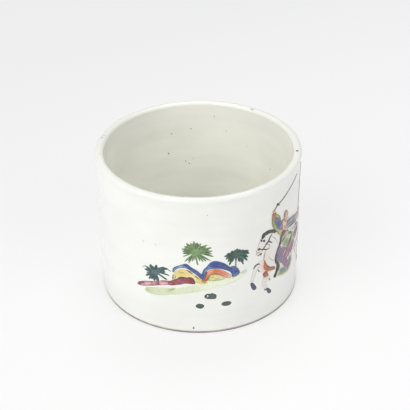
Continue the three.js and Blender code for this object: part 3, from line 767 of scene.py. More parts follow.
    strokes("bank_grass", "green_line", "leaf_green", (1.8, 0.35, (
        [(8.6, 54, 0.3), (9.8, 55, 0.7), (12, 54.8, 0.3)], [(11.6, 53, 0.3), (13.6, 53.6, 0.6), (16.4, 52.8, 0.3)],
        [(7.4, 56, 0.3), (6.9, 53.6, 0.9), (7.8, 51.6, 0.3)], [(9.4, 52.2, 0.3), (12.4, 52, 0.8), (17.4, 51.9, 0.4)],
    )), (0, 0.1, (
        [(-25.7, 40, 0.4), (-23.4, 41.2, 1.0), (-20.6, 42.8, 0.3)],
        [(-25.4, 41.6, 0.2), (-23, 42.2, 0.6), (-21, 43, 0.2)],
    )))
    strokes("bank_twig", "patch_teal", "pale_green", (0, 0.2, (
        [(33.4, 54.4, 0.4), (35.8, 55.4, 1.3), (38.6, 56.6, 0.4)],
        [(34.6, 53.4, 0.2), (37.4, 54, 0.7), (39.4, 55.2, 0.2)],
    )))
    strokes("bank_edges", "faint_line", "pale_green", (0, 0.8, (
        widths([(-47.8, 36), (-46.4, 33.9), (-42, 33), (-36, 33.6), (-27, 35.4)], 0.5, 1.1, 0.6, 0.8, 0.3),
        widths([(-46.6, 37.4), (-43, 38.6), (-36, 40.4)], 0.3, 0.7, 0.3),
    )), (0, 0.2, (
        widths([(-38, 40.2), (-31, 41.8), (-20, 43.6)], 0.3, 0.5, 0.2),
        widths([(20, 49.6), (28, 51.8), (34, 53.6)], 0.2, 0.6, 0.3),
        widths([(16, 45.2), (26, 47.4), (35, 51.4)], 0.2, 0.5, 0.3),
        widths([(-22, 37.4), (-12, 39.8), (0, 42.4)], 0.2, 0.6, 0.2),
    )), over=0.05)
    strokes("bank_lines", "mauve_line", "rose", (0, 0.9, (
        widths([(-55.4, 37.9), (-53, 39.3), (-50.6, 40.8), (-48, 41.6)], 0.8, 1.9, 1.7, 0.6),
        widths([(-54.4, 39.8), (-50.4, 42.1), (-46, 43.8), (-40, 45.6)], 0.8, 0.6, 0.5, 0.3),
        widths([(-55, 37.9), (-52, 37.8), (-48, 38.8)], 0.9, 0.6, 0.3),
        [(-35.6, 47.6, 0.5), (-35, 45.6, 1.7), (-35.6, 43.4, 0.5)],
    )), (0, 0.45, (
        [(-41.6, 45.2, 0.4), (-41, 43.8, 1.0), (-41.6, 42, 0.3)],
        widths([(-34, 47.7), (-30, 48.8), (-25.6, 49.4)], 0.4, 1.1, 0.6),
        [(-33, 46.4, 0.3), (-29.4, 48, 0.7), (-26.4, 48.4, 0.5)],
        [(-26.6, 45.9, 0.4), (-25, 47, 1.0), (-24.6, 48.4, 0.5)],
        widths([(-46, 40.4), (-40, 42.4), (-35, 44.2)], 0.2, 0.5, 0.2),
        [(-49, 41.6, 0.2), (-48.4, 40.2, 0.6), (-49, 39, 0.2)],
        [(-38.6, 45.4, 0.2), (-38, 44, 0.5), (-38.4, 42.8, 0.2)],
    )))


# The pines and moss

# Shares of a needle's way and of its width there
NEEDLE = ((0.0, 0.7), (0.3, 0.9), (0.6, 1.0), (0.85, 0.95), (1.0, 0.35))
HANGING_WIDTH = 0.78
HANGING_REACH = 0.7
STREAK_WIDTH = 0.42


def flick(mesh, start, tip, width, droop, draw, level, core_tone, tip_tone):
    """One needle, flicked out from the crown to a blunt tip."""
    reach = math.dist(start, tip)
    points = []
    for share, size in NEEDLE:
        bow = droop * reach * 4 * share * (1 - share)
        u, v = (start[axis] + (tip[axis] - start[axis]) * share for axis in (0, 1))
        points.append((u, v + bow, width * size))
    line(mesh, points, level, core_tone + draw.uniform(-0.12, 0.12), tip=tip_tone, relief=0.12, steps=3, over=0.05)


def pine(heart, tips, width, core, seed, fill, pooled, mixed, droop=0.0, open_below=99):
    """A crown of needles out to the tips, shorter ones between neighbours, dark streaks and a pooled heart."""
    draw = random.Random(seed)
    mesh = new_drawing()
    tips = sorted(tips, key=lambda tip: math.atan2(tip[1] - heart[1], tip[0] - heart[0]))

    def needle(side, inner, outer, size, level, core_tone, tip_tone):
        """Flicks a needle between two shares of the way from the heart to between this tip and the next."""
        ends = [[heart[axis] + (tip[axis] + (following[axis] - tip[axis]) * side - heart[axis]) * share
                 for axis in (0, 1)] for share in (inner, outer)]
        flick(mesh, *ends, size, droop, draw, level, core_tone, tip_tone)

    for i, tip in enumerate(tips):
        following = tips[(i + 1) % len(tips)]
        hanging = tip[1] < heart[1] - open_below
        size = width * draw.uniform(0.82, 1.15) * (HANGING_WIDTH if hanging else 1)
        needle(0, 0.12, 1.0, size, (i % 3) * 0.4 + 0.4, 0.3, draw.uniform(*mixed))
        if hanging and i % 2:
            continue
        reach = fill * draw.uniform(0.88, 1.08) * (HANGING_REACH if hanging else 1)
        size = width * draw.uniform(0.65, 0.85)
        needle(0.5, 0.1, reach, size, (i % 5) * 0.3, 0.05, draw.uniform(0.0, 0.5))
        side = draw.uniform(0.2, 0.8)
        inner, outer = draw.uniform(0.25, 0.5), draw.uniform(0.7, 0.92)
        needle(side, inner, outer, width * STREAK_WIDTH, 2.2, 0.75, 1.0)
    wash(mesh, blot(*core, wobble=0.3, seed=seed), level=1.2, tone=pooled, relief=0.12)
    return mesh


def paint_pines():
    left = pine((-37.4, 55.6), (
        (-42, 61.2), (-39.4, 60), (-36, 62.4), (-33.4, 60), (-47.2, 54.8), (-46, 57.8), (-46.4, 48.9), (-43.4, 46.7),
        (-41, 47.2), (-38.7, 46.2), (-34.8, 47.2),
    ), 2.2, (-37.4, 56, 8, 6.6), fill=0.56, seed=11, pooled=0.1, mixed=(0.5, 0.9))
    draw = random.Random(4)
    for start, tip, size, droop in (
        ((-37, 56.6), (-28.7, 61.2), 2.6, 0.05), ((-36, 57.4), (-26.6, 60.4), 2.0, 0.1),
        ((-34, 58), (-30.8, 60.4), 2.2, 0.0), ((-36, 55.6), (-28.6, 57.3), 2.0, 0.0),
        ((-34, 57), (-29, 59), 1.6, 0.0), ((-36, 55), (-25.2, 54.4), 1.3, 0.06),
        ((-35.4, 54.4), (-27.2, 49.8), 1.5, 0.0),
    ):
        flick(left, start, tip, size, droop, draw, 0.8, 0.3, 0.95)
    line(left, [
        (-31, 60.4, 1.4), (-27.6, 61, 1.1), (-25.6, 59.6, 0.8), (-23.4, 58.6, 0.4),
    ], 0.2, 0.3, tip=0.1, relief=0.08, over=0.05)
    line(left, [(-46, 58.6, 0.8), (-48, 57.2, 0.5), (-49.4, 55.8, 0.3)], 0.2, 0.2, tip=0.0, relief=0.05, over=0.05)
    finish_piece("pine_left", left, PAINTS["teal"], ["enamel_pine_left"], bend=on_rocks)

    middle = pine((-3.4, 79.6), (
        (-10.6, 87.2), (-12.4, 84.3), (-14.4, 81.8), (-13.4, 77.6), (-13.3, 74.6), (-12, 70), (-9.2, 68.4),
        (-6.2, 70.4), (-2.2, 67.4), (0, 70.4), (2.6, 69.8), (4.8, 70.4), (8.4, 70.6), (10.8, 74.4), (10, 79.7),
        (9.2, 83), (5.8, 85.9), (3.4, 85.2), (1, 87.4), (-2, 88.2), (-4.7, 89.6), (-7.3, 87.6), (9.6, 77),
        (-14, 79.6),
    ), 1.5, (-3.2, 81, 15, 10), fill=0.84, seed=23, pooled=0.3, mixed=(0.1, 0.95), open_below=3.5)
    finish_piece("pine_middle", middle, PAINTS["leaf_green"], ["enamel_pine_middle"], bend=on_rocks)

    right = pine((29.8, 73.6), (
        (30.5, 78.5), (28.2, 77.6), (25, 76.8), (21.6, 75), (19.6, 72.8), (20.8, 70.2), (22.6, 67.6), (23.6, 64),
        (25.8, 66.6), (32.4, 65.2), (36, 61.8), (39.5, 64.6), (39.9, 67.8), (41.2, 70.8), (40.6, 73.3), (36.2, 75.3),
        (33.2, 76.9),
    ), 1.8, (29.4, 74, 13, 6.2), droop=0.09, fill=0.84, seed=37, pooled=0.75, mixed=(0.5, 0.9))
    finish_piece("pine_right", right, PAINTS["dark_green"], ["enamel_pine_right"], bend=on_rocks)

    trunks = (
        ("pine_left_trunk", "bark", "bark", [(-37.2, 53, 1.2), (-36.4, 50, 1.5), (-35.8, 46.8, 1.9)], 0.8),
        ("pine_middle_trunk", "green_line", "bark", [(-3, 76, 0.7), (-2.6, 71.6, 1.0), (-1.6, 67, 1.2)], 0.4),
        ("pine_right_trunk", "trunk_grey", "bark", [(29.6, 71, 1.3), (29.4, 66, 1.3), (29.1, 60.4, 1.5)], 0.6),
    )
    for name, paint, slot, points, tone in trunks:
        mesh = new_drawing()
        line(mesh, points, 0, tone, relief=0.14, over=0.05)
        finish_piece(name, mesh, PAINTS[paint], [f"enamel_{name}"], bend=on_rocks)
    dots = (
        [
            (3.2, 36), (4, 38), (5.8, 39), (8.4, 38.8), (9.6, 39.5), (10.8, 38.6), (12.6, 37.8), (13.2, 35.8),
            (12.4, 33.4), (9, 33.3), (6.4, 33.6), (4.4, 34.2),
        ],
        [(-4, 26.6), (-2.8, 28.6), (-0.4, 29.1), (2.2, 28.3), (3, 26.4), (1.6, 24.6), (-0.4, 24.1), (-2.6, 24.8)],
        [(17.1, 27.2), (18.6, 28.9), (21.4, 29.3), (24.4, 28.7), (25.7, 26.8), (24, 25), (21, 24.7), (18.4, 25.4)],
    )
    for i, corners in enumerate(dots):
        left_end = (corners[0][0] + 3, corners[0][1], 2, 0.3)
        area(f"moss_{i + 1}", closed(*corners), "moss", "moss", tone=0.6, pools=(left_end,))
    strokes("moss_shade", "black", "black", (0.3, 1.0, (
        [(4, 35, 0.4), (4.4, 36.2, 1.0), (5.2, 37.6, 0.5)], [(5.2, 34.4, 0.4), (5.8, 35.6, 0.9), (5.4, 36.6, 0.4)],
    )))
    # A small white spot laid over the first moss dot's left end.
    area("moss_white_spot", ribbon([(5.2, 35.2, 0.4), (5.9, 36.4, 1.1), (5.7, 37.7, 0.5)]), "white", "white", nodes=(),
         level=1.4, grid=0.4, relief=0.05, tone=0.0)


# The horse

TAIL_HAIRS = 16
HORSE = closed(
    (49, 66.4), (47.7, 68.6), (48.8, 72.4), (50.4, 77), (52.4, 81.4), (54.2, 84.4), (57.4, 85), (62, 84.6),
    (67, 82.4), (72, 78.6), (78, 75.6), (86, 74), (100, 73.6), (114, 74.4), (125, 71.2), (130.5, 64),
    (128.5, 56.5), (118, 51), (104, 46.5), (90, 44.2), (76, 43.4), (66, 44.6), (59, 47.8), (56, 52.6),
    (55.8, 58.5), (57, 63), (57.6, 67.5), (56, 70.4), (52.6, 66.8), (50.4, 65.2),
)
LEGS = [
    [(62, 53, 9), (56, 56.6, 7.4), (50, 56.2, 4.6), (46.2, 50, 3.2), (43.8, 42.4, 2.6)],
    [(63, 48, 8.5), (58, 41, 5), (56.4, 34.6, 3.2), (59.4, 29.4, 2.6)],
    [(121, 60, 15), (121, 48, 9), (126.5, 38.5, 5), (133, 30.8, 3.2)],
    [(111, 55, 11), (108.5, 44, 7), (112.5, 36, 4.2), (116.8, 29.6, 3)],
]


def paint_horse():
    mesh = new_drawing()
    for points in LEGS:
        wash(mesh, ribbon(points, 6), relief=0.06, tone=0.15)
    wash(mesh, HORSE, level=0.6, relief=0.07, tone=0.15, pools=(
        (51, 70, 5, 0.2), (57, 72, 6, 0.1), (57.4, 64, 4, 0.6), (57, 56, 4, 0.5), (70, 74, 6, -0.3),
        (126, 62, 6, 0.5), (100, 50, 12, 0.4),
    ))
    finish_piece("horse", mesh, PAINTS["white"], ["enamel_horse"])
    for i, (outline, paint, tone) in enumerate((
        (closed((64, 80), (67, 80.6), (70.4, 76), (71.6, 69), (69, 67), (66, 72)), "lavender", 0.8),
        (closed((68, 67), (72, 66), (72.4, 62), (69, 58), (66.4, 60)), "lavender", 0.8),
        (closed(
            (52.6, 57), (55.6, 61.4), (60, 59), (63.4, 54), (68.4, 51), (70, 46.6), (62, 44), (53.6, 47.6),
            (52, 52.6),
        ), "peach_wash", 0.8),
        (closed((55.6, 41.4), (59, 43.4), (63.4, 40.4), (64.4, 36.6), (60.4, 35.6), (56.6, 38.4)), "peach_wash", 0.3),
    )):
        area(f"blush_{i + 1}", outline, paint, "white", nodes=(), level=0.8, relief=0.03, soft=2.2, tone=tone)

    shade = new_drawing()
    contour(shade, HORSE, 0.45, 0.6, 0.35, 0.0, 0.15)
    contour(shade, HORSE, 0.4, 0.6, 0.05, 0.86, 1.0)
    contour(shade, HORSE, 0.45, 0.6, 0.6, 0.4, 0.74)
    for i, points in enumerate(LEGS):
        edge = ribbon(points, 6)
        half = len(edge) // 2
        for side in (edge[:half], edge[half:][::-1]):
            contour(shade, side[half // 3:], 0.32, 0.1, 0.0 if i < 2 else 0.7, 0.0, 0.96)
    lines(shade, (
        [(56.6, 66.8, 0.4), (56, 62.4, 0.9), (55.6, 58.6, 0.5)], [(61, 60, 0.2), (64.6, 55.6, 0.5), (69, 52.6, 0.2)],
        [(112, 66, 0.2), (118, 62, 0.5), (120.6, 55, 0.2)], [(121, 69, 0.2), (125.4, 65.6, 0.5), (127, 61, 0.2)],
        [(96, 50, 0.2), (102, 49.4, 0.5), (108, 50.6, 0.2)], [(64, 79, 0.2), (68.4, 74.6, 0.5), (71.4, 69, 0.2)],
        [
            (56.2, 72, 0.3), (58, 73.2, 0.7), (60.6, 72.6, 0.7), (62.2, 70.4, 0.6), (60.4, 68.4, 0.7),
            (57.4, 68.2, 0.4),
        ],
        [(48, 70.6, 0.3), (49.6, 69, 0.8), (52, 69.4, 0.3)], [(49.2, 67, 0.4), (51, 65.9, 0.9), (52.8, 66.6, 0.4)],
        [(45.6, 55, 0.4), (48.6, 57.3, 0.8), (51.4, 56.8, 0.4)],
    ), 0.8, 0.6)
    finish_piece("horse_shading", shade, PAINTS["pink_line"])

    strokes("bridle", "ink", "black", (0.9, 0.85, (
        [(54.2, 78.6, 0.8), (55.5, 78.2, 2.2), (56.6, 76.9, 0.8)],
        [(52, 80.4, 0.7), (52.9, 79.4, 1.6), (53.2, 78, 0.6)],
        [(49.4, 71.4, 0.9), (50.7, 72, 2.3), (51.9, 71.2, 0.9)],
        [(50.9, 66.9, 0.7), (52.3, 66.3, 1.8), (53.3, 67.4, 0.7)],
    )), (0.9, 0.6, (
        [(64.6, 81, 0.6), (62.2, 78.8, 1.3), (60.4, 75.8, 1.6), (57.3, 73.2, 1.1), (55, 70.2, 1.4)],
        [(57.6, 74.2, 0.6), (59.8, 75.3, 1.1), (62.4, 74.2, 1.3), (65, 72.2, 0.6)],
        [(52.2, 71, 0.7), (54.8, 70.1, 1.3), (58, 68.8, 0.8), (61.7, 68.3, 0.5)],
        [(45.5, 54.4, 0.6), (47, 56.7, 1.3), (49.4, 57.7, 1.1), (51.8, 57, 0.5)],
        [(49.8, 52, 0.5), (50.8, 50.4, 1.0), (51.8, 49.2, 0.4)],
        [(56.8, 28.9, 0.5), (58.8, 28.3, 1.2), (61, 28.6, 0.7)],
        [(61.8, 38.4, 0.5), (62.8, 36.8, 0.9), (63.2, 35.8, 0.4)],
    )))

    draw = random.Random(5)
    hair = new_drawing()
    wash(hair, closed(
        (53.2, 80), (53.1, 83), (54.2, 85.2), (57, 86), (61, 86.1), (65, 85), (68.6, 82.8), (70, 80.4), (67.4, 80.4),
        (64, 82), (60.4, 82.8), (57.4, 82.6), (55.2, 81),
    ), level=1.6, tone=0.75, pools=(
        (54, 82.6, 2, 0.4), (57.8, 85, 1.2, -0.7), (62.6, 84.8, 1.2, -0.4), (67, 82.6, 1.6, 0.3),
    ))
    crest = smooth([(54.2, 82.6), (57, 84.6), (61, 84.6), (66.8, 82.4)], 5)
    for i, root in enumerate(crest):
        u, v = root.x + draw.uniform(-0.4, 0.4), root.y + draw.uniform(-0.2, 0.4)
        line(hair, [(u - 0.8, v + 1, 0.3), (u + 0.2, v - 0.2, 0.7), (u + 1.2, v - draw.uniform(1.0, 2.8), 0.15)],
             1.7 + 0.2 * (i % 3), draw.uniform(0.4, 1.0), steps=3)
    finish_piece("mane", hair, PAINTS["mane"], ["enamel_mane"])

    tail = new_drawing()
    for i in range(TAIL_HAIRS):
        spread = 2 * i / (TAIL_HAIRS - 1) - 1
        line(tail, [
            (127.5, 70 - spread * 0.7, 0.7), (134.5 + spread * 0.6, 68.6 - spread * 2.2, 1.0),
            (140 + spread * 1.6, 60.5 - spread * 2.4, 1.0),
            (142.4 + spread * 2.4 + draw.uniform(-0.6, 0.6), 48 + draw.uniform(-1, 4), 0.2),
        ], 0.2 * (i % 5), draw.uniform(0.5, 1.0), over=0.04, relief=0.12)
    finish_piece("tail", tail, PAINTS["mane"], ["enamel_tail"])

    hooves = (
        ((42.7, 41), (45.2, 41), (48.6, 35.4), (47.8, 33.2), (45.4, 33.6), (43.5, 37)),
        ((59.3, 29), (61.8, 28.6), (65.2, 24.2), (64.2, 22.2), (61.8, 23), (60, 26.2)),
        ((132.6, 29.6), (135.4, 30.8), (137.4, 27), (133.4, 25.2)),
        ((116, 28.4), (118.8, 29), (120, 25.2), (115.6, 24.8)),
    )
    for i, corners in enumerate(hooves):
        area(f"hoof_{i + 1}", closed(*corners), "hoof_blue", "hoof_blue", level=0.6, grid=0.7, tone=0.7)

    area("breast_strap", ribbon([
        (56.6, 58.8, 0.8), (56.9, 55.2, 2), (58, 51.6, 4.4), (61.2, 48.3, 4.2), (65.2, 46.3, 2.8), (69.2, 45.5, 1.4),
    ], 6), "iron_red", "iron_red", level=1.6, grid=0.7, tone=0.6, pools=(
        (57, 53, 1.6, -0.3), (60.6, 49.6, 2.2, 0.4), (67.6, 45.8, 1.6, 0.3),
    ))
    tassel = new_drawing()
    wash(tassel, closed(
        (55.2, 46), (57.4, 46.9), (60.4, 44.4), (61.2, 42), (58.4, 41.4), (55.8, 42.8),
    ), level=1.6, grid=0.7, tone=0.95)
    for i in range(6):
        line(tassel, [
            (56 + i * 0.8, 44.4 - i * 0.3, 0.5), (56.3 + i * 0.9, 42.4, 0.6),
            (56.5 + i * 1.0, 40.6 + 0.4 * (i % 2), 0.15),
        ], 1.7, 0.5)
    finish_piece("tassel", tassel, PAINTS["iron_red"], ["enamel_tassel"])
    strokes("strap_lines", "brown_line", "bark", (1.7, 0.6, (
        [(57.2, 57, 0.4), (59.2, 52.6, 1.0), (62.6, 49.2, 0.9), (68.6, 46.8, 0.6)],
        [(56.6, 47, 0.5), (58.8, 46.6, 0.9), (60.8, 45, 0.4)],
    )))


# The rider

def paint_rider():
    area("saddle_cloth", closed(
        (71.4, 35.6), (72.6, 39), (75, 42.6), (79, 43), (86, 44), (91, 46), (96, 50), (100.6, 57), (103, 54),
        (101, 46.4), (98, 38), (94.6, 31.6), (89, 29.8), (82, 30.8), (76, 32.8),
    ), "olive", "olive", level=1.6, relief=0.06, tone=0.45, soft=1.0, pools=(
        (97, 44, 5, -0.3), (101, 53, 5, -0.5), (90, 34, 3, 0.3),
    ))
    area("cloth_patch", closed(
        (73.8, 37), (75, 40.6), (78, 41), (82, 39.4), (86, 37.6), (88, 35), (84, 34), (78.6, 34.6), (75, 35.4),
    ), "patch_teal", "grey_blue", nodes=(), level=2.2, relief=0.05, soft=1.2, grid=0.7, pools=(
        (75.6, 37, 2, -0.3), (80, 37.6, 2.4, 0.3),
    ))
    area("boot", ribbon([
        (70.6, 52, 0.9), (71.8, 48.6, 2.2), (73.2, 45.6, 4.2), (72.8, 42.6, 4.0), (71, 39.8, 2.2), (69.8, 37.6, 3.2),
        (69, 35.6, 2.4),
    ], 6), "black", "black", level=4.4, grid=0.7, tone=0.8)
    area("skirt", closed(
        (72, 62.6), (75.4, 63), (79, 61.4), (82, 59), (86, 57), (90, 59.4), (94, 60.6), (97.6, 59.4), (99, 55),
        (97, 50), (94.6, 45.6), (92, 41.6), (88, 36.8), (83.4, 38), (79.8, 43.4), (75.4, 47.4), (71.8, 49.6),
        (70.2, 53.4), (70.2, 58),
    ), "plum", "plum", level=2.6, fade=([(70, 64), (69.4, 54), (74, 46)], 12), pools=(
        (84, 50, 3, 0.3), (86, 41, 3, 0.3), (77, 55, 2.4, -0.2), (80, 52, 2, -0.2),
    ))
    area("skirt_light", closed(
        (87.6, 55), (91, 58.4), (96, 60), (99.4, 58.4), (100.6, 54), (98.4, 50.4), (95, 47.6), (92, 48.4), (88.6, 51),
    ), "mauve_light", "plum", nodes=(), level=3.1, relief=0.05, soft=1.6, tone=0.8)
    area("skirt_shade", closed(
        (84.4, 36.4), (88, 34), (92, 34), (95.6, 37.4), (96, 41.4), (93.4, 43.4), (90.4, 42.4), (87.4, 40),
    ), "shade", "black", nodes=(), level=3.3, relief=0.05, soft=1.4, pools=((89, 37.8, 3, 0.3),))
    area("hip_bands", closed(
        (92, 62), (96, 63.4), (102, 64.6), (110, 66.4), (113, 63), (108, 58.6), (101.6, 56.6), (96.4, 58.6),
    ), "shade", "black", nodes=(), level=3.2, relief=0.05, soft=1.8, tone=0.55)
    area("hip_plates", closed(
        (76.8, 69), (79.6, 71), (82.4, 72.6), (84.8, 75.2), (87, 74.4), (87.6, 71.4), (90.6, 69.8), (94, 67.8),
        (97.6, 65), (98, 62.4), (94, 61.2), (90.6, 59.6), (87.4, 57.8), (84.6, 57.2), (81.6, 59.6), (79.6, 62.4),
        (77, 64.6), (76, 66.8),
    ), "armour_green", "armour_green", level=3.4, tone=0.3, pools=(
        (82.4, 69.8, 2, 0.5), (85.2, 61.6, 2.4, 0.7), (78.6, 64.6, 1.6, -0.4), (93, 66, 2.4, 0.4),
        (88.4, 64.6, 2, -0.5), (84, 66, 1.6, -0.4),
    ))
    area("torso", closed(
        (74.8, 73.4), (75.2, 78), (75.6, 82.6), (76.4, 87), (79.4, 88), (82.4, 85.4), (85, 83), (86, 79.4),
        (85.6, 74.6), (84.4, 71.4), (79.6, 70.6),
    ), "peach", "peach", level=3.6, tone=0.35, pools=(
        (76.4, 80, 1.6, 0.5), (77.4, 85.6, 1.8, 0.4), (80.4, 83, 2, -0.5), (80, 76.2, 2, 0.6), (83.4, 80.6, 2, -0.2),
    ))
    area("belt", closed(
        (75.2, 72.2), (75.6, 76.6), (78, 78.4), (80.8, 77.2), (83, 75.2), (83.4, 73), (81, 71.4), (78, 70.8),
    ), "belt_brown", "bark", nodes=(), level=4.2, relief=0.05, soft=1.2, grid=0.7, tone=0.8)
    area("low_sleeve", ribbon([
        (82.4, 79, 4), (87, 79.6, 7.4), (95, 78.4, 7.4), (104, 76.2, 6.6), (112, 74, 5.4),
    ], 6), "grey_blue", "grey_blue", level=4.6, tone=0.6, pools=(
        (88, 80, 3, 0.1), (98, 76.4, 4, 0.3), (92, 82, 2.6, -0.5), (103, 79, 3, -0.3), (86.4, 77.4, 2, -0.4),
    ))
    area("sleeve_border", closed(
        (64.5, 96.4), (64.2, 92), (65.1, 88), (67.1, 84.2), (70, 80.2), (73, 76.2), (74.8, 75), (75.8, 77),
        (76.6, 80.2), (76.2, 84), (75, 88.4), (73.6, 92.4), (71.4, 95.8), (68.6, 98.4), (65.6, 98.4),
    ), "border", "olive", level=4.6, grid=0.7, tone=0.8, pools=(
        (64.6, 88, 1.6, 0.3), (72.6, 77, 2.4, -0.5), (71, 96, 2, -0.3),
    ))
    area("raised_sleeve", closed(
        (66.3, 93.8), (68.2, 95.2), (70.8, 94.2), (73.2, 91.6), (75, 88), (76.4, 84.6), (76.8, 81.4), (75.4, 80.2),
        (73.4, 80.8), (70.8, 83), (68.6, 86), (67, 89), (66.2, 91.6),
    ), "sleeve_blue", "sleeve_blue", level=5.4, grid=0.8, tone=0.7, pools=(
        (71.6, 87, 2.6, 0.5), (68.4, 92.6, 2, -0.2), (76, 83, 1.8, -0.7),
    ))
    area("robe_edge", ribbon([
        (75.8, 73, 1.4), (75.6, 68, 2.2), (73.4, 63.6, 2.7), (70.8, 58.6, 2.5), (69.7, 53.6, 2.2), (70.4, 49.2, 1.5),
    ], 6), "navy", "black", level=3.4, grid=0.7, tone=0.7, pools=(
        (71.4, 59, 1.6, -0.4), (75.4, 67, 2, 0.3), (70, 52, 2, 0.2),
    ))
    area(
        "cuff", ribbon([(66, 95, 4.6), (66.5, 99.6, 4)], 6), "cuff_red", "iron_red", level=5.8, grid=0.6, tone=0.75,
        pools=((64.6, 96.6, 1, -0.4), (68, 98, 1, -0.3)),
    )

    strokes("olive_lines", "olive_dark", "olive", (5.2, 0.5, (
        [(64.5, 95, 0.4), (64.4, 91.4, 0.8), (66, 86.4, 0.7), (69.4, 81.4, 0.6), (73.4, 76.2, 0.4)],
        [(69.4, 97.6, 0.4), (72.2, 94.8, 0.9), (74.4, 91, 0.5)],
    )), (6.2, 0.7, (
        [(66.8, 94, 0.4), (68.4, 93, 2.2), (70.6, 92, 0.6)], [(66.8, 91, 0.3), (68, 88, 0.8), (70.4, 84.6, 0.4)],
    )), (4.4, 0.85, (
        [(76.8, 67, 0.6), (79, 68.2, 1.9), (82, 69, 0.5)], [(78.4, 64.4, 0.4), (81, 65.4, 1.1), (84.6, 66.6, 0.4)],
        [(80.2, 62, 0.4), (83.4, 63.2, 1.2), (87, 65, 0.4)], [(87.4, 61.4, 0.4), (91, 62.6, 1.6), (95.6, 64, 0.6)],
        [(86.4, 69, 0.5), (89.4, 69.4, 2.0), (93.4, 67.4, 2.0), (96.8, 65, 0.7)],
        [(83.4, 73.4, 0.4), (85.6, 74, 1.2), (87.4, 72.4, 0.4)], [(85, 58.4, 0.3), (89, 59.8, 0.9), (94, 62, 0.4)],
    )), (4.0, 0.1, (
        [(73, 36.6, 0.6), (78, 34.4, 1.2), (84, 33.6, 1.3), (90, 33.4, 0.8)],
        [(75, 43.6, 0.5), (74.2, 47.4, 1.2), (73, 51, 0.7)],
    )))
    strokes("skirt_folds", "plum_line", "plum", (2.9, 0.6, (
        [(71.6, 54.4, 0.4), (73.4, 57.6, 1.1), (76.4, 61, 0.5)],
        [(72.6, 50.4, 0.4), (75.4, 54.4, 1.1), (79.6, 59, 0.5)],
        [(75.4, 48.2, 0.4), (79.4, 52.8, 1.0), (83.6, 57, 0.4)],
        [(78.8, 45.4, 0.4), (83.2, 50.4, 1.1), (87.6, 55.4, 0.4)],
        [(82, 41.6, 0.5), (86.4, 47.2, 1.1), (90.4, 52, 0.4)], [(85, 39, 0.6), (88.6, 42.8, 1.3), (92, 46.6, 0.5)],
    )), (3.4, 0.2, (
        [(91, 51, 0.3), (95, 54, 0.9), (99.6, 57.6, 0.4)], [(93.4, 48.4, 0.3), (97, 51, 0.9), (101, 55, 0.4)],
    )))
    strokes("rider_lines", "ink", "black", (4.7, 0.6, (
        [(76, 73.6, 0.6), (79, 76, 1.4), (83, 74.6, 0.7)], [(75.9, 73.4, 1.2), (75.7, 69.6, 1.5), (75, 66, 0.9)],
        [(71, 58.4, 0.5), (70, 54.4, 1.0), (70.6, 50, 0.6)],
    )), (5.4, 0.0, (
        [(84, 81.6, 0.5), (89, 82.2, 0.8), (96, 80.8, 0.7), (103, 78.8, 0.4)],
        [(86.4, 76.2, 0.6), (94, 75, 1.5), (104, 73.2, 0.9)], [(84.6, 79, 0.4), (91, 78.6, 1.2), (99, 76.8, 0.6)],
    )), (4.5, 0.0, (
        [(96, 69, 0.2), (101, 68.6, 0.5), (107, 69.4, 0.2)], [(98.4, 61, 0.3), (103, 62.6, 0.7), (109, 65, 0.3)],
        [(102, 56.4, 0.3), (105.4, 58.8, 0.7), (110, 62, 0.3)],
    )))
    strokes("torso_folds", "mauve_brown", "peach", (4.6, 0.6, (
        [(75.6, 88, 0.5), (76.4, 85, 1.6), (76.8, 81, 1.4), (77.8, 78.4, 0.6)],
        [(79.4, 82, 0.3), (80.6, 80, 1.1), (82, 78, 0.4)], [(79.6, 87.4, 0.3), (81, 85, 0.9), (83.4, 83.4, 0.3)],
    )))

    light = new_drawing()
    for u, v, long, wide, turn in (
        (76.8, 43.4, 4.4, 1.9, 115), (88.2, 45, 3.6, 2.8, 45), (92, 46.4, 3.6, 2.4, 45), (97.4, 43.4, 4, 2.2, 60),
        (72.6, 67.2, 5, 0.9, 70), (80.6, 65.6, 4.4, 0.8, 22), (86.4, 67.8, 4.4, 0.8, 20), (84, 62.4, 3.4, 0.7, 20),
        (92.4, 70.8, 6, 1.4, 10), (100, 69.4, 6, 1.8, 12), (81.4, 54.2, 5, 0.7, 45), (86.6, 49.4, 5, 0.7, 48),
        (98.6, 48.8, 5, 2.0, 48), (86.6, 85, 4, 1.0, 0), (78, 61.8, 3, 0.8, 25),
    ):
        lean = math.radians(turn)
        reach = Vector((math.cos(lean), math.sin(lean))) * long / 2
        wash(light, ribbon([
            (u - reach.x, v - reach.y, wide * 0.3), (u, v, wide), (u + reach.x, v + reach.y, wide * 0.3),
        ], 4), level=4.6, grid=0.6, relief=0.06, tone=0.2)
    finish_piece("rider_skips", light, PAINTS["white"])

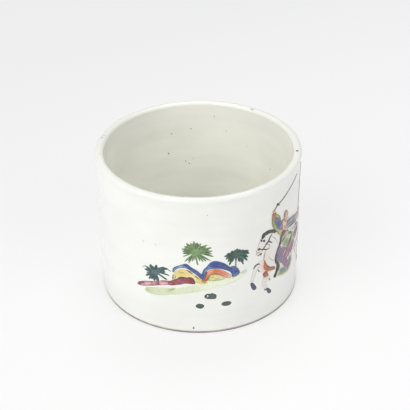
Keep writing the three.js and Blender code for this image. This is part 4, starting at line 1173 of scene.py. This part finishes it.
    skin = new_drawing()
    wash(
        skin, blot(82.6, 88.6, 5.6, 6.4, 0.03, 20, seed=2), level=4.8, grid=0.7, tone=0.3,
        pools=((80.1, 88.4, 1.0, 0.6), (85.1, 88.4, 1.0, 0.6)),
    )
    wash(skin, blot(113.4, 73.6, 3.2, 3, 0.12, 12, seed=4), level=4.8, grid=0.7)
    wash(skin, blot(66.2, 101.2, 3, 2.8, 0.15, 12, seed=5), level=5.4, grid=0.6)
    finish_piece("face", skin, PAINTS["skin"], ["enamel_face"])
    area("cap", closed(
        (79.6, 89.4), (80, 92.2), (81.2, 94.2), (83.8, 94.2), (85.2, 92.2), (85.6, 89.4), (84.3, 91.2), (81, 91.2),
    ), "cap_brown", "iron_red", level=5.4, grid=0.7, tone=0.6, pools=((80.4, 91.8, 1.2, 0.4), (85, 91.4, 1.2, 0.4)))
    strokes("face_lines", "ink", "black", (5.0, 0.8, (
        [(80.6, 89.1, 0.12), (81.2, 89.3, 0.32), (81.8, 89.1, 0.12)],
        [(83.4, 89.1, 0.12), (84, 89.3, 0.32), (84.6, 89.1, 0.12)],
        [(80.5, 90, 0.1), (81.2, 90.3, 0.25), (81.9, 90, 0.1)], [(83.3, 90, 0.1), (84, 90.3, 0.25), (84.7, 90, 0.1)],
        [(82.6, 89, 0.1), (82.5, 88, 0.2), (82.8, 87.8, 0.1)],
        [(81.9, 86.9, 0.12), (82.6, 86.7, 0.3), (83.3, 86.9, 0.12)],
    )))

    near = new_drawing()
    line(near, [
        (66.4, 102.2, 1.0), (68.2, 103.6, 1.5), (70.8, 105.6, 1.3), (74.6, 106.8, 1.1), (79.6, 108.6, 1.2),
        (87, 111.7, 1.0), (94.8, 114.6, 1.0), (104, 117.6, 0.6),
    ], 0.6, 0.3, steps=6, over=0.1)
    line(near, [(69.4, 107, 0.7), (71, 105.8, 2.1), (73, 104.4, 0.7)], 0.9, 1.0, over=0.1)
    for u, v in ((79.6, 108.8), (88, 112.2)):
        wash(near, blot(u, v, 1.9, 1.5, 0.1, 10, seed=3), level=1.2, grid=0.6, tone=0.5)
    finish_piece("staff", near, PAINTS["staff_brown"], ["enamel_staff"])
    far = new_drawing()
    line(far, [(113.8, 75, 1.2), (115.4, 88, 1.2), (118.8, 101, 1.1), (123.5, 118, 0.8)], 0.6, 0.6, steps=6, over=0.1)
    finish_piece("far_staff", far, PAINTS["staff_brown"], ["enamel_far_staff"])


# Marks of the kiln

def scatter_specks():
    marks = (
        ("side_specks", "speck", 0.6, on_wall, ((-6, 4.4, 1.2, 2.8), (6.4, 113.9, 0.6, 0.7), (36.3, 54.7, 1.0, 0.7))),
        ("side_smudges", "smudge", 0.5, on_wall, ((-36.6, 82.4, 2.4, 2.2), (-47.7, 82.6, 2.2, 2.4))),
        (
            "inside_specks", "speck", 0.6, on_inside,
            (
                (-236.9, 81.9, 1.4, 1.6), (-240.8, 101.3, 1.1, 1.3), (-260, 104.2, 1.0, 1.2),
                (251.2, 117.0, 1.0, 1.2), (239.4, 103.7, 0.9, 1.0), (-254.1, 71.7, 1.2, 1.0),
                (-257.5, 68.9, 1.0, 1.1), (186.8, 80.0, 1.2, 1.3),
            ),
        ),
        ("lip_chips", "speck", 0.1, on_lip, ((-154.8, 5.8, 1.4, 1.0), (-187.8, 2.5, 1.6, 1.0))),
        ("lip_nicks", "nick", 0.5, on_lip, (
            (213.6, 7.2, 4.2, 2.0), (-151.3, 4.8, 2.2, 2.0), (-121.9, 6.0, 1.4, 1.4),
        )),
        ("lip_burn", "black", 0.8, on_lip, ((123.2, 6.0, 2.2, 2.4),)),
    )
    for name, paint, tone, bend, blots in marks:
        mesh = new_drawing()
        for u, v, width, height in blots:
            wash(mesh, blot(u, v, width, height, 0.2, 10, seed=int(v)), relief=0.05, grid=0.5, tone=tone)
        finish_piece(name, mesh, PAINTS[paint], bend=bend)


# Stage, lights and camera, in metres and watts

TABLE_HALF = 4.0
TABLE_WHITE = 0.95
TABLE_FRONT = 0.99
TABLE_BACK = 0.83
TABLE_SLANT = 1.2
TABLE_SHIFT = 0.3
FLOOR_LIFT = 0.6
WORLD_STRENGTH = 0.52
BACKDROP_LIFT = 0.4
LIGHT_TARGET = (0, 0, 0.06)
LIGHTS = (
    ("key", (-1.45, -1.45, 1.75), 2.2, 34.0),
    ("fill", (1.5, -1.5, 1.7), 1.4, 10.6),
    ("top", (0.1, 0.7, 1.7), 0.9, 6.4),
)


def make_stage():
    """A pale table that the camera sees a little lighter than it is, with a painted light that is brightest at the
    front.
    """
    mesh = bmesh.new()
    bmesh.ops.create_grid(mesh, x_segments=1, y_segments=1, size=TABLE_HALF)
    data = bpy.data.meshes.new("floor")
    mesh.to_mesh(data)
    mesh.free()
    floor = bpy.data.objects.new("floor", data)
    material, tree, shader = new_material("floor_paper")
    tree.fill(shader, {"Base Color": grey(TABLE_WHITE), "Roughness": 0.7, "Specular IOR Level": 0.1})
    # Painted light on the table, seen only by the camera: a glow brightest at the front and right, dimmer to the back
    # and left.
    split = tree.split(tree.place())
    slant = tree.calc("SUBTRACT", tree.calc("MULTIPLY", split["Y"], TABLE_SLANT), split["X"])
    depth = tree.calc("ADD", slant, TABLE_SHIFT, clamp=True)
    glow = tree.add("Emission", {"Color": tree.ramp(depth, (0.0, grey(TABLE_FRONT)), (1.0, grey(TABLE_BACK)))})
    both = tree.add("MixShader", {
        "Fac": tree.seen(FLOOR_LIFT), 1: shader.outputs["BSDF"], 2: glow.outputs["Emission"],
    })
    tree.fill(tree.nodes["Material Output"], {"Surface": both.outputs["Shader"]})
    data.materials.append(material)
    bpy.context.scene.collection.objects.link(floor)


def light_scene():
    world = bpy.data.worlds.new("studio")
    bpy.context.scene.world = world
    tree = Tree(world)
    strength = tree.calc("ADD", tree.seen(BACKDROP_LIFT), WORLD_STRENGTH)
    tree.fill(tree.nodes["Background"], {"Color": grey(1.0), "Strength": strength})
    for name, place, size, power in LIGHTS:
        data = bpy.data.lights.new(name, "AREA")
        data.shape = "SQUARE"
        data.size = size
        data.energy = power
        lamp = bpy.data.objects.new(name, data)
        lamp.location = place
        lamp.rotation_euler = (Vector(LIGHT_TARGET) - Vector(place)).to_track_quat("-Z", "Y").to_euler()
        bpy.context.scene.collection.objects.link(lamp)


# The photograph's view: its distance and heights are in pot radii, its angles in radians
CAMERA_BACK = 10.068
CAMERA_HEIGHT = 7.1193
CAMERA_YAW = 0.0058
CAMERA_PITCH = 0.557
CAMERA_ROLL = -0.0103
FOCAL_PIXELS = 1178.15
FRAME_PIXELS = 410
SENSOR_MM = 36.0


def make_camera():
    data = bpy.data.cameras.new("camera")
    data.sensor_width = SENSOR_MM
    data.lens = FOCAL_PIXELS / FRAME_PIXELS * SENSOR_MM
    camera = bpy.data.objects.new("camera", data)
    level = math.cos(CAMERA_PITCH)
    forward = Vector((math.sin(CAMERA_YAW) * level, math.cos(CAMERA_YAW) * level, -math.sin(CAMERA_PITCH)))
    right = Vector((math.cos(CAMERA_YAW), -math.sin(CAMERA_YAW), 0.0))
    up = right.cross(forward)
    tilted_right = math.cos(CAMERA_ROLL) * right + math.sin(CAMERA_ROLL) * up
    tilted_up = -math.sin(CAMERA_ROLL) * right + math.cos(CAMERA_ROLL) * up
    turn = Matrix((tilted_right, tilted_up, -forward)).transposed()
    camera.matrix_world = Matrix.Translation(
        (0, -CAMERA_BACK * RADIUS * MM, CAMERA_HEIGHT * RADIUS * MM)
    ) @ turn.to_4x4()
    bpy.context.scene.collection.objects.link(camera)
    bpy.context.scene.camera = camera


PAINTS = {
    "rose": enamel("rose_enamel", (178, 104, 114), (234, 190, 196), rim=(166, 96, 108), streak=0.7),
    "crimson": enamel("crimson_enamel", (138, 46, 60), (198, 132, 148), rim=(126, 56, 60), streak=0.6),
    "yellow": enamel("yellow_enamel", (224, 204, 122), (241, 234, 186), rim=(212, 195, 138)),
    "boulder": enamel("boulder_enamel", (222, 204, 120), (238, 232, 186), rim=(196, 190, 124)),
    "blue": enamel("blue_enamel", (54, 76, 150), (160, 176, 186), rim=(74, 104, 138)),
    "orange": enamel("orange_enamel", (218, 118, 74), (242, 206, 188), rim=(206, 126, 88)),
    "pale_green": enamel("pale_green_enamel", (166, 188, 124), (239, 244, 221)),
    "teal": enamel("teal_enamel", (54, 74, 70), (86, 114, 118), streak=0.3),
    "leaf_green": enamel("leaf_green_enamel", (72, 98, 58), (138, 168, 116), streak=0.35),
    "dark_green": enamel("dark_green_enamel", (50, 68, 60), (86, 118, 110), streak=0.35),
    "moss": enamel("moss_enamel", (70, 86, 78), (96, 112, 104), rim=(56, 70, 64), streak=0.25),
    "bark": enamel("bark_enamel", (74, 66, 62), (126, 114, 98), streak=0.3),
    "white": enamel("white_enamel", (236, 220, 210), (233, 233, 230), streak=0.15),
    "mane": enamel("mane_enamel", (52, 50, 46), (112, 108, 98), streak=0.25),
    "iron_red": enamel("iron_red_enamel", (172, 92, 60), (214, 150, 118), rim=(150, 84, 60), roughness=0.32),
    "cuff_red": enamel("cuff_enamel", (140, 84, 62), (208, 160, 138), roughness=0.32),
    "hoof_blue": enamel("hoof_blue_enamel", (64, 70, 100), (110, 112, 130), rim=(56, 58, 84), streak=0.2),
    "armour_green": enamel("armour_green_enamel", (118, 140, 92), (204, 208, 178), stretch=ACROSS),
    "plum": enamel("plum_enamel", (156, 114, 128), (136, 130, 172), rim=(124, 108, 130), stretch=ACROSS),
    "olive": enamel("olive_enamel", (168, 168, 136), (234, 234, 214)),
    "border": enamel("border_enamel", (162, 160, 104), (214, 212, 168), rim=(138, 134, 88)),
    "black": enamel("black_enamel", (44, 42, 34), (84, 80, 68), streak=0.2),
    "navy": enamel("navy_enamel", (58, 58, 74), (126, 124, 150), streak=0.3),
    "sleeve_blue": enamel("sleeve_blue_enamel", (82, 86, 146), (142, 148, 162), rim=(92, 102, 112)),
    "grey_blue": enamel("grey_blue_enamel", (112, 112, 124), (196, 196, 202)),
    "skin": enamel("skin_enamel", (208, 170, 144), (234, 210, 192), rim=(190, 150, 126), streak=0.15),
    "cap_brown": enamel("cap_enamel", (182, 158, 140), (222, 206, 192), rim=(158, 132, 116)),
    "peach": enamel("peach_enamel", (186, 136, 116), (242, 206, 180), rim=(150, 116, 108)),
    "peach_wash": enamel("peach_wash_enamel", (240, 196, 170), (236, 234, 228)),
    "staff_brown": enamel("staff_enamel", (66, 60, 52), (142, 134, 124), streak=0.3),
    "speck": enamel("speck_brown", (78, 68, 60), (140, 130, 118), roughness=0.5),
    "ink": stroke_enamel("ink_lines", (46, 43, 40), (120, 116, 108), 0.4),
    "brown_line": stroke_enamel("brown_lines", (96, 60, 50), (164, 128, 96), 0.35),
    "navy_line": stroke_enamel("navy_lines", (46, 60, 108), (88, 118, 150)),
    "green_line": stroke_enamel("green_lines", (112, 126, 82), (170, 186, 142)),
    "mauve_line": stroke_enamel("mauve_lines", (112, 76, 84), (188, 126, 136)),
    "pink_line": stroke_enamel("pink_lines", (140, 110, 100), (212, 198, 188), 0.4),
    "rust_line": stroke_enamel("rust_lines", (140, 80, 54), (198, 126, 92)),
    "faint_line": stroke_enamel("faint_lines", (184, 200, 152), (218, 226, 206)),
    "olive_dark": stroke_enamel("olive_lines", (92, 98, 58), (178, 178, 132)),
    "mauve_brown": stroke_enamel("mauve_brown_lines", (134, 92, 92), (190, 148, 138)),
    "lavender": enamel("lavender_wash", (214, 208, 226), (236, 236, 234)),
    "mauve_light": enamel("mauve_light_wash", (172, 162, 172), (206, 200, 208)),
    "shade": enamel("shade_wash", (112, 108, 106), (196, 186, 190)),
    "patch_teal": enamel("patch_enamel", (116, 134, 134), (206, 212, 198)),
    "trunk_grey": enamel("trunk_enamel", (104, 108, 102), (168, 170, 162), streak=0.3),
    "belt_brown": enamel("belt_enamel", (92, 76, 76), (190, 160, 146), streak=0.3),
    "smudge": enamel("smudge_glaze", (214, 214, 208), (230, 231, 225), roughness=0.3),
    "nick": enamel("nick_glaze", (168, 164, 158), (206, 204, 198), roughness=0.5),
    "plum_line": stroke_enamel("plum_lines", (92, 76, 108), (140, 112, 134)),
}

glaze = white_glaze()
make_wall(glaze)
make_base(glaze)
make_foot(bare_paste())
paint_rocks()
paint_pines()
paint_horse()
paint_rider()
scatter_specks()
make_stage()
light_scene()
make_camera()
bpy.context.scene.view_settings.view_transform = "Standard"
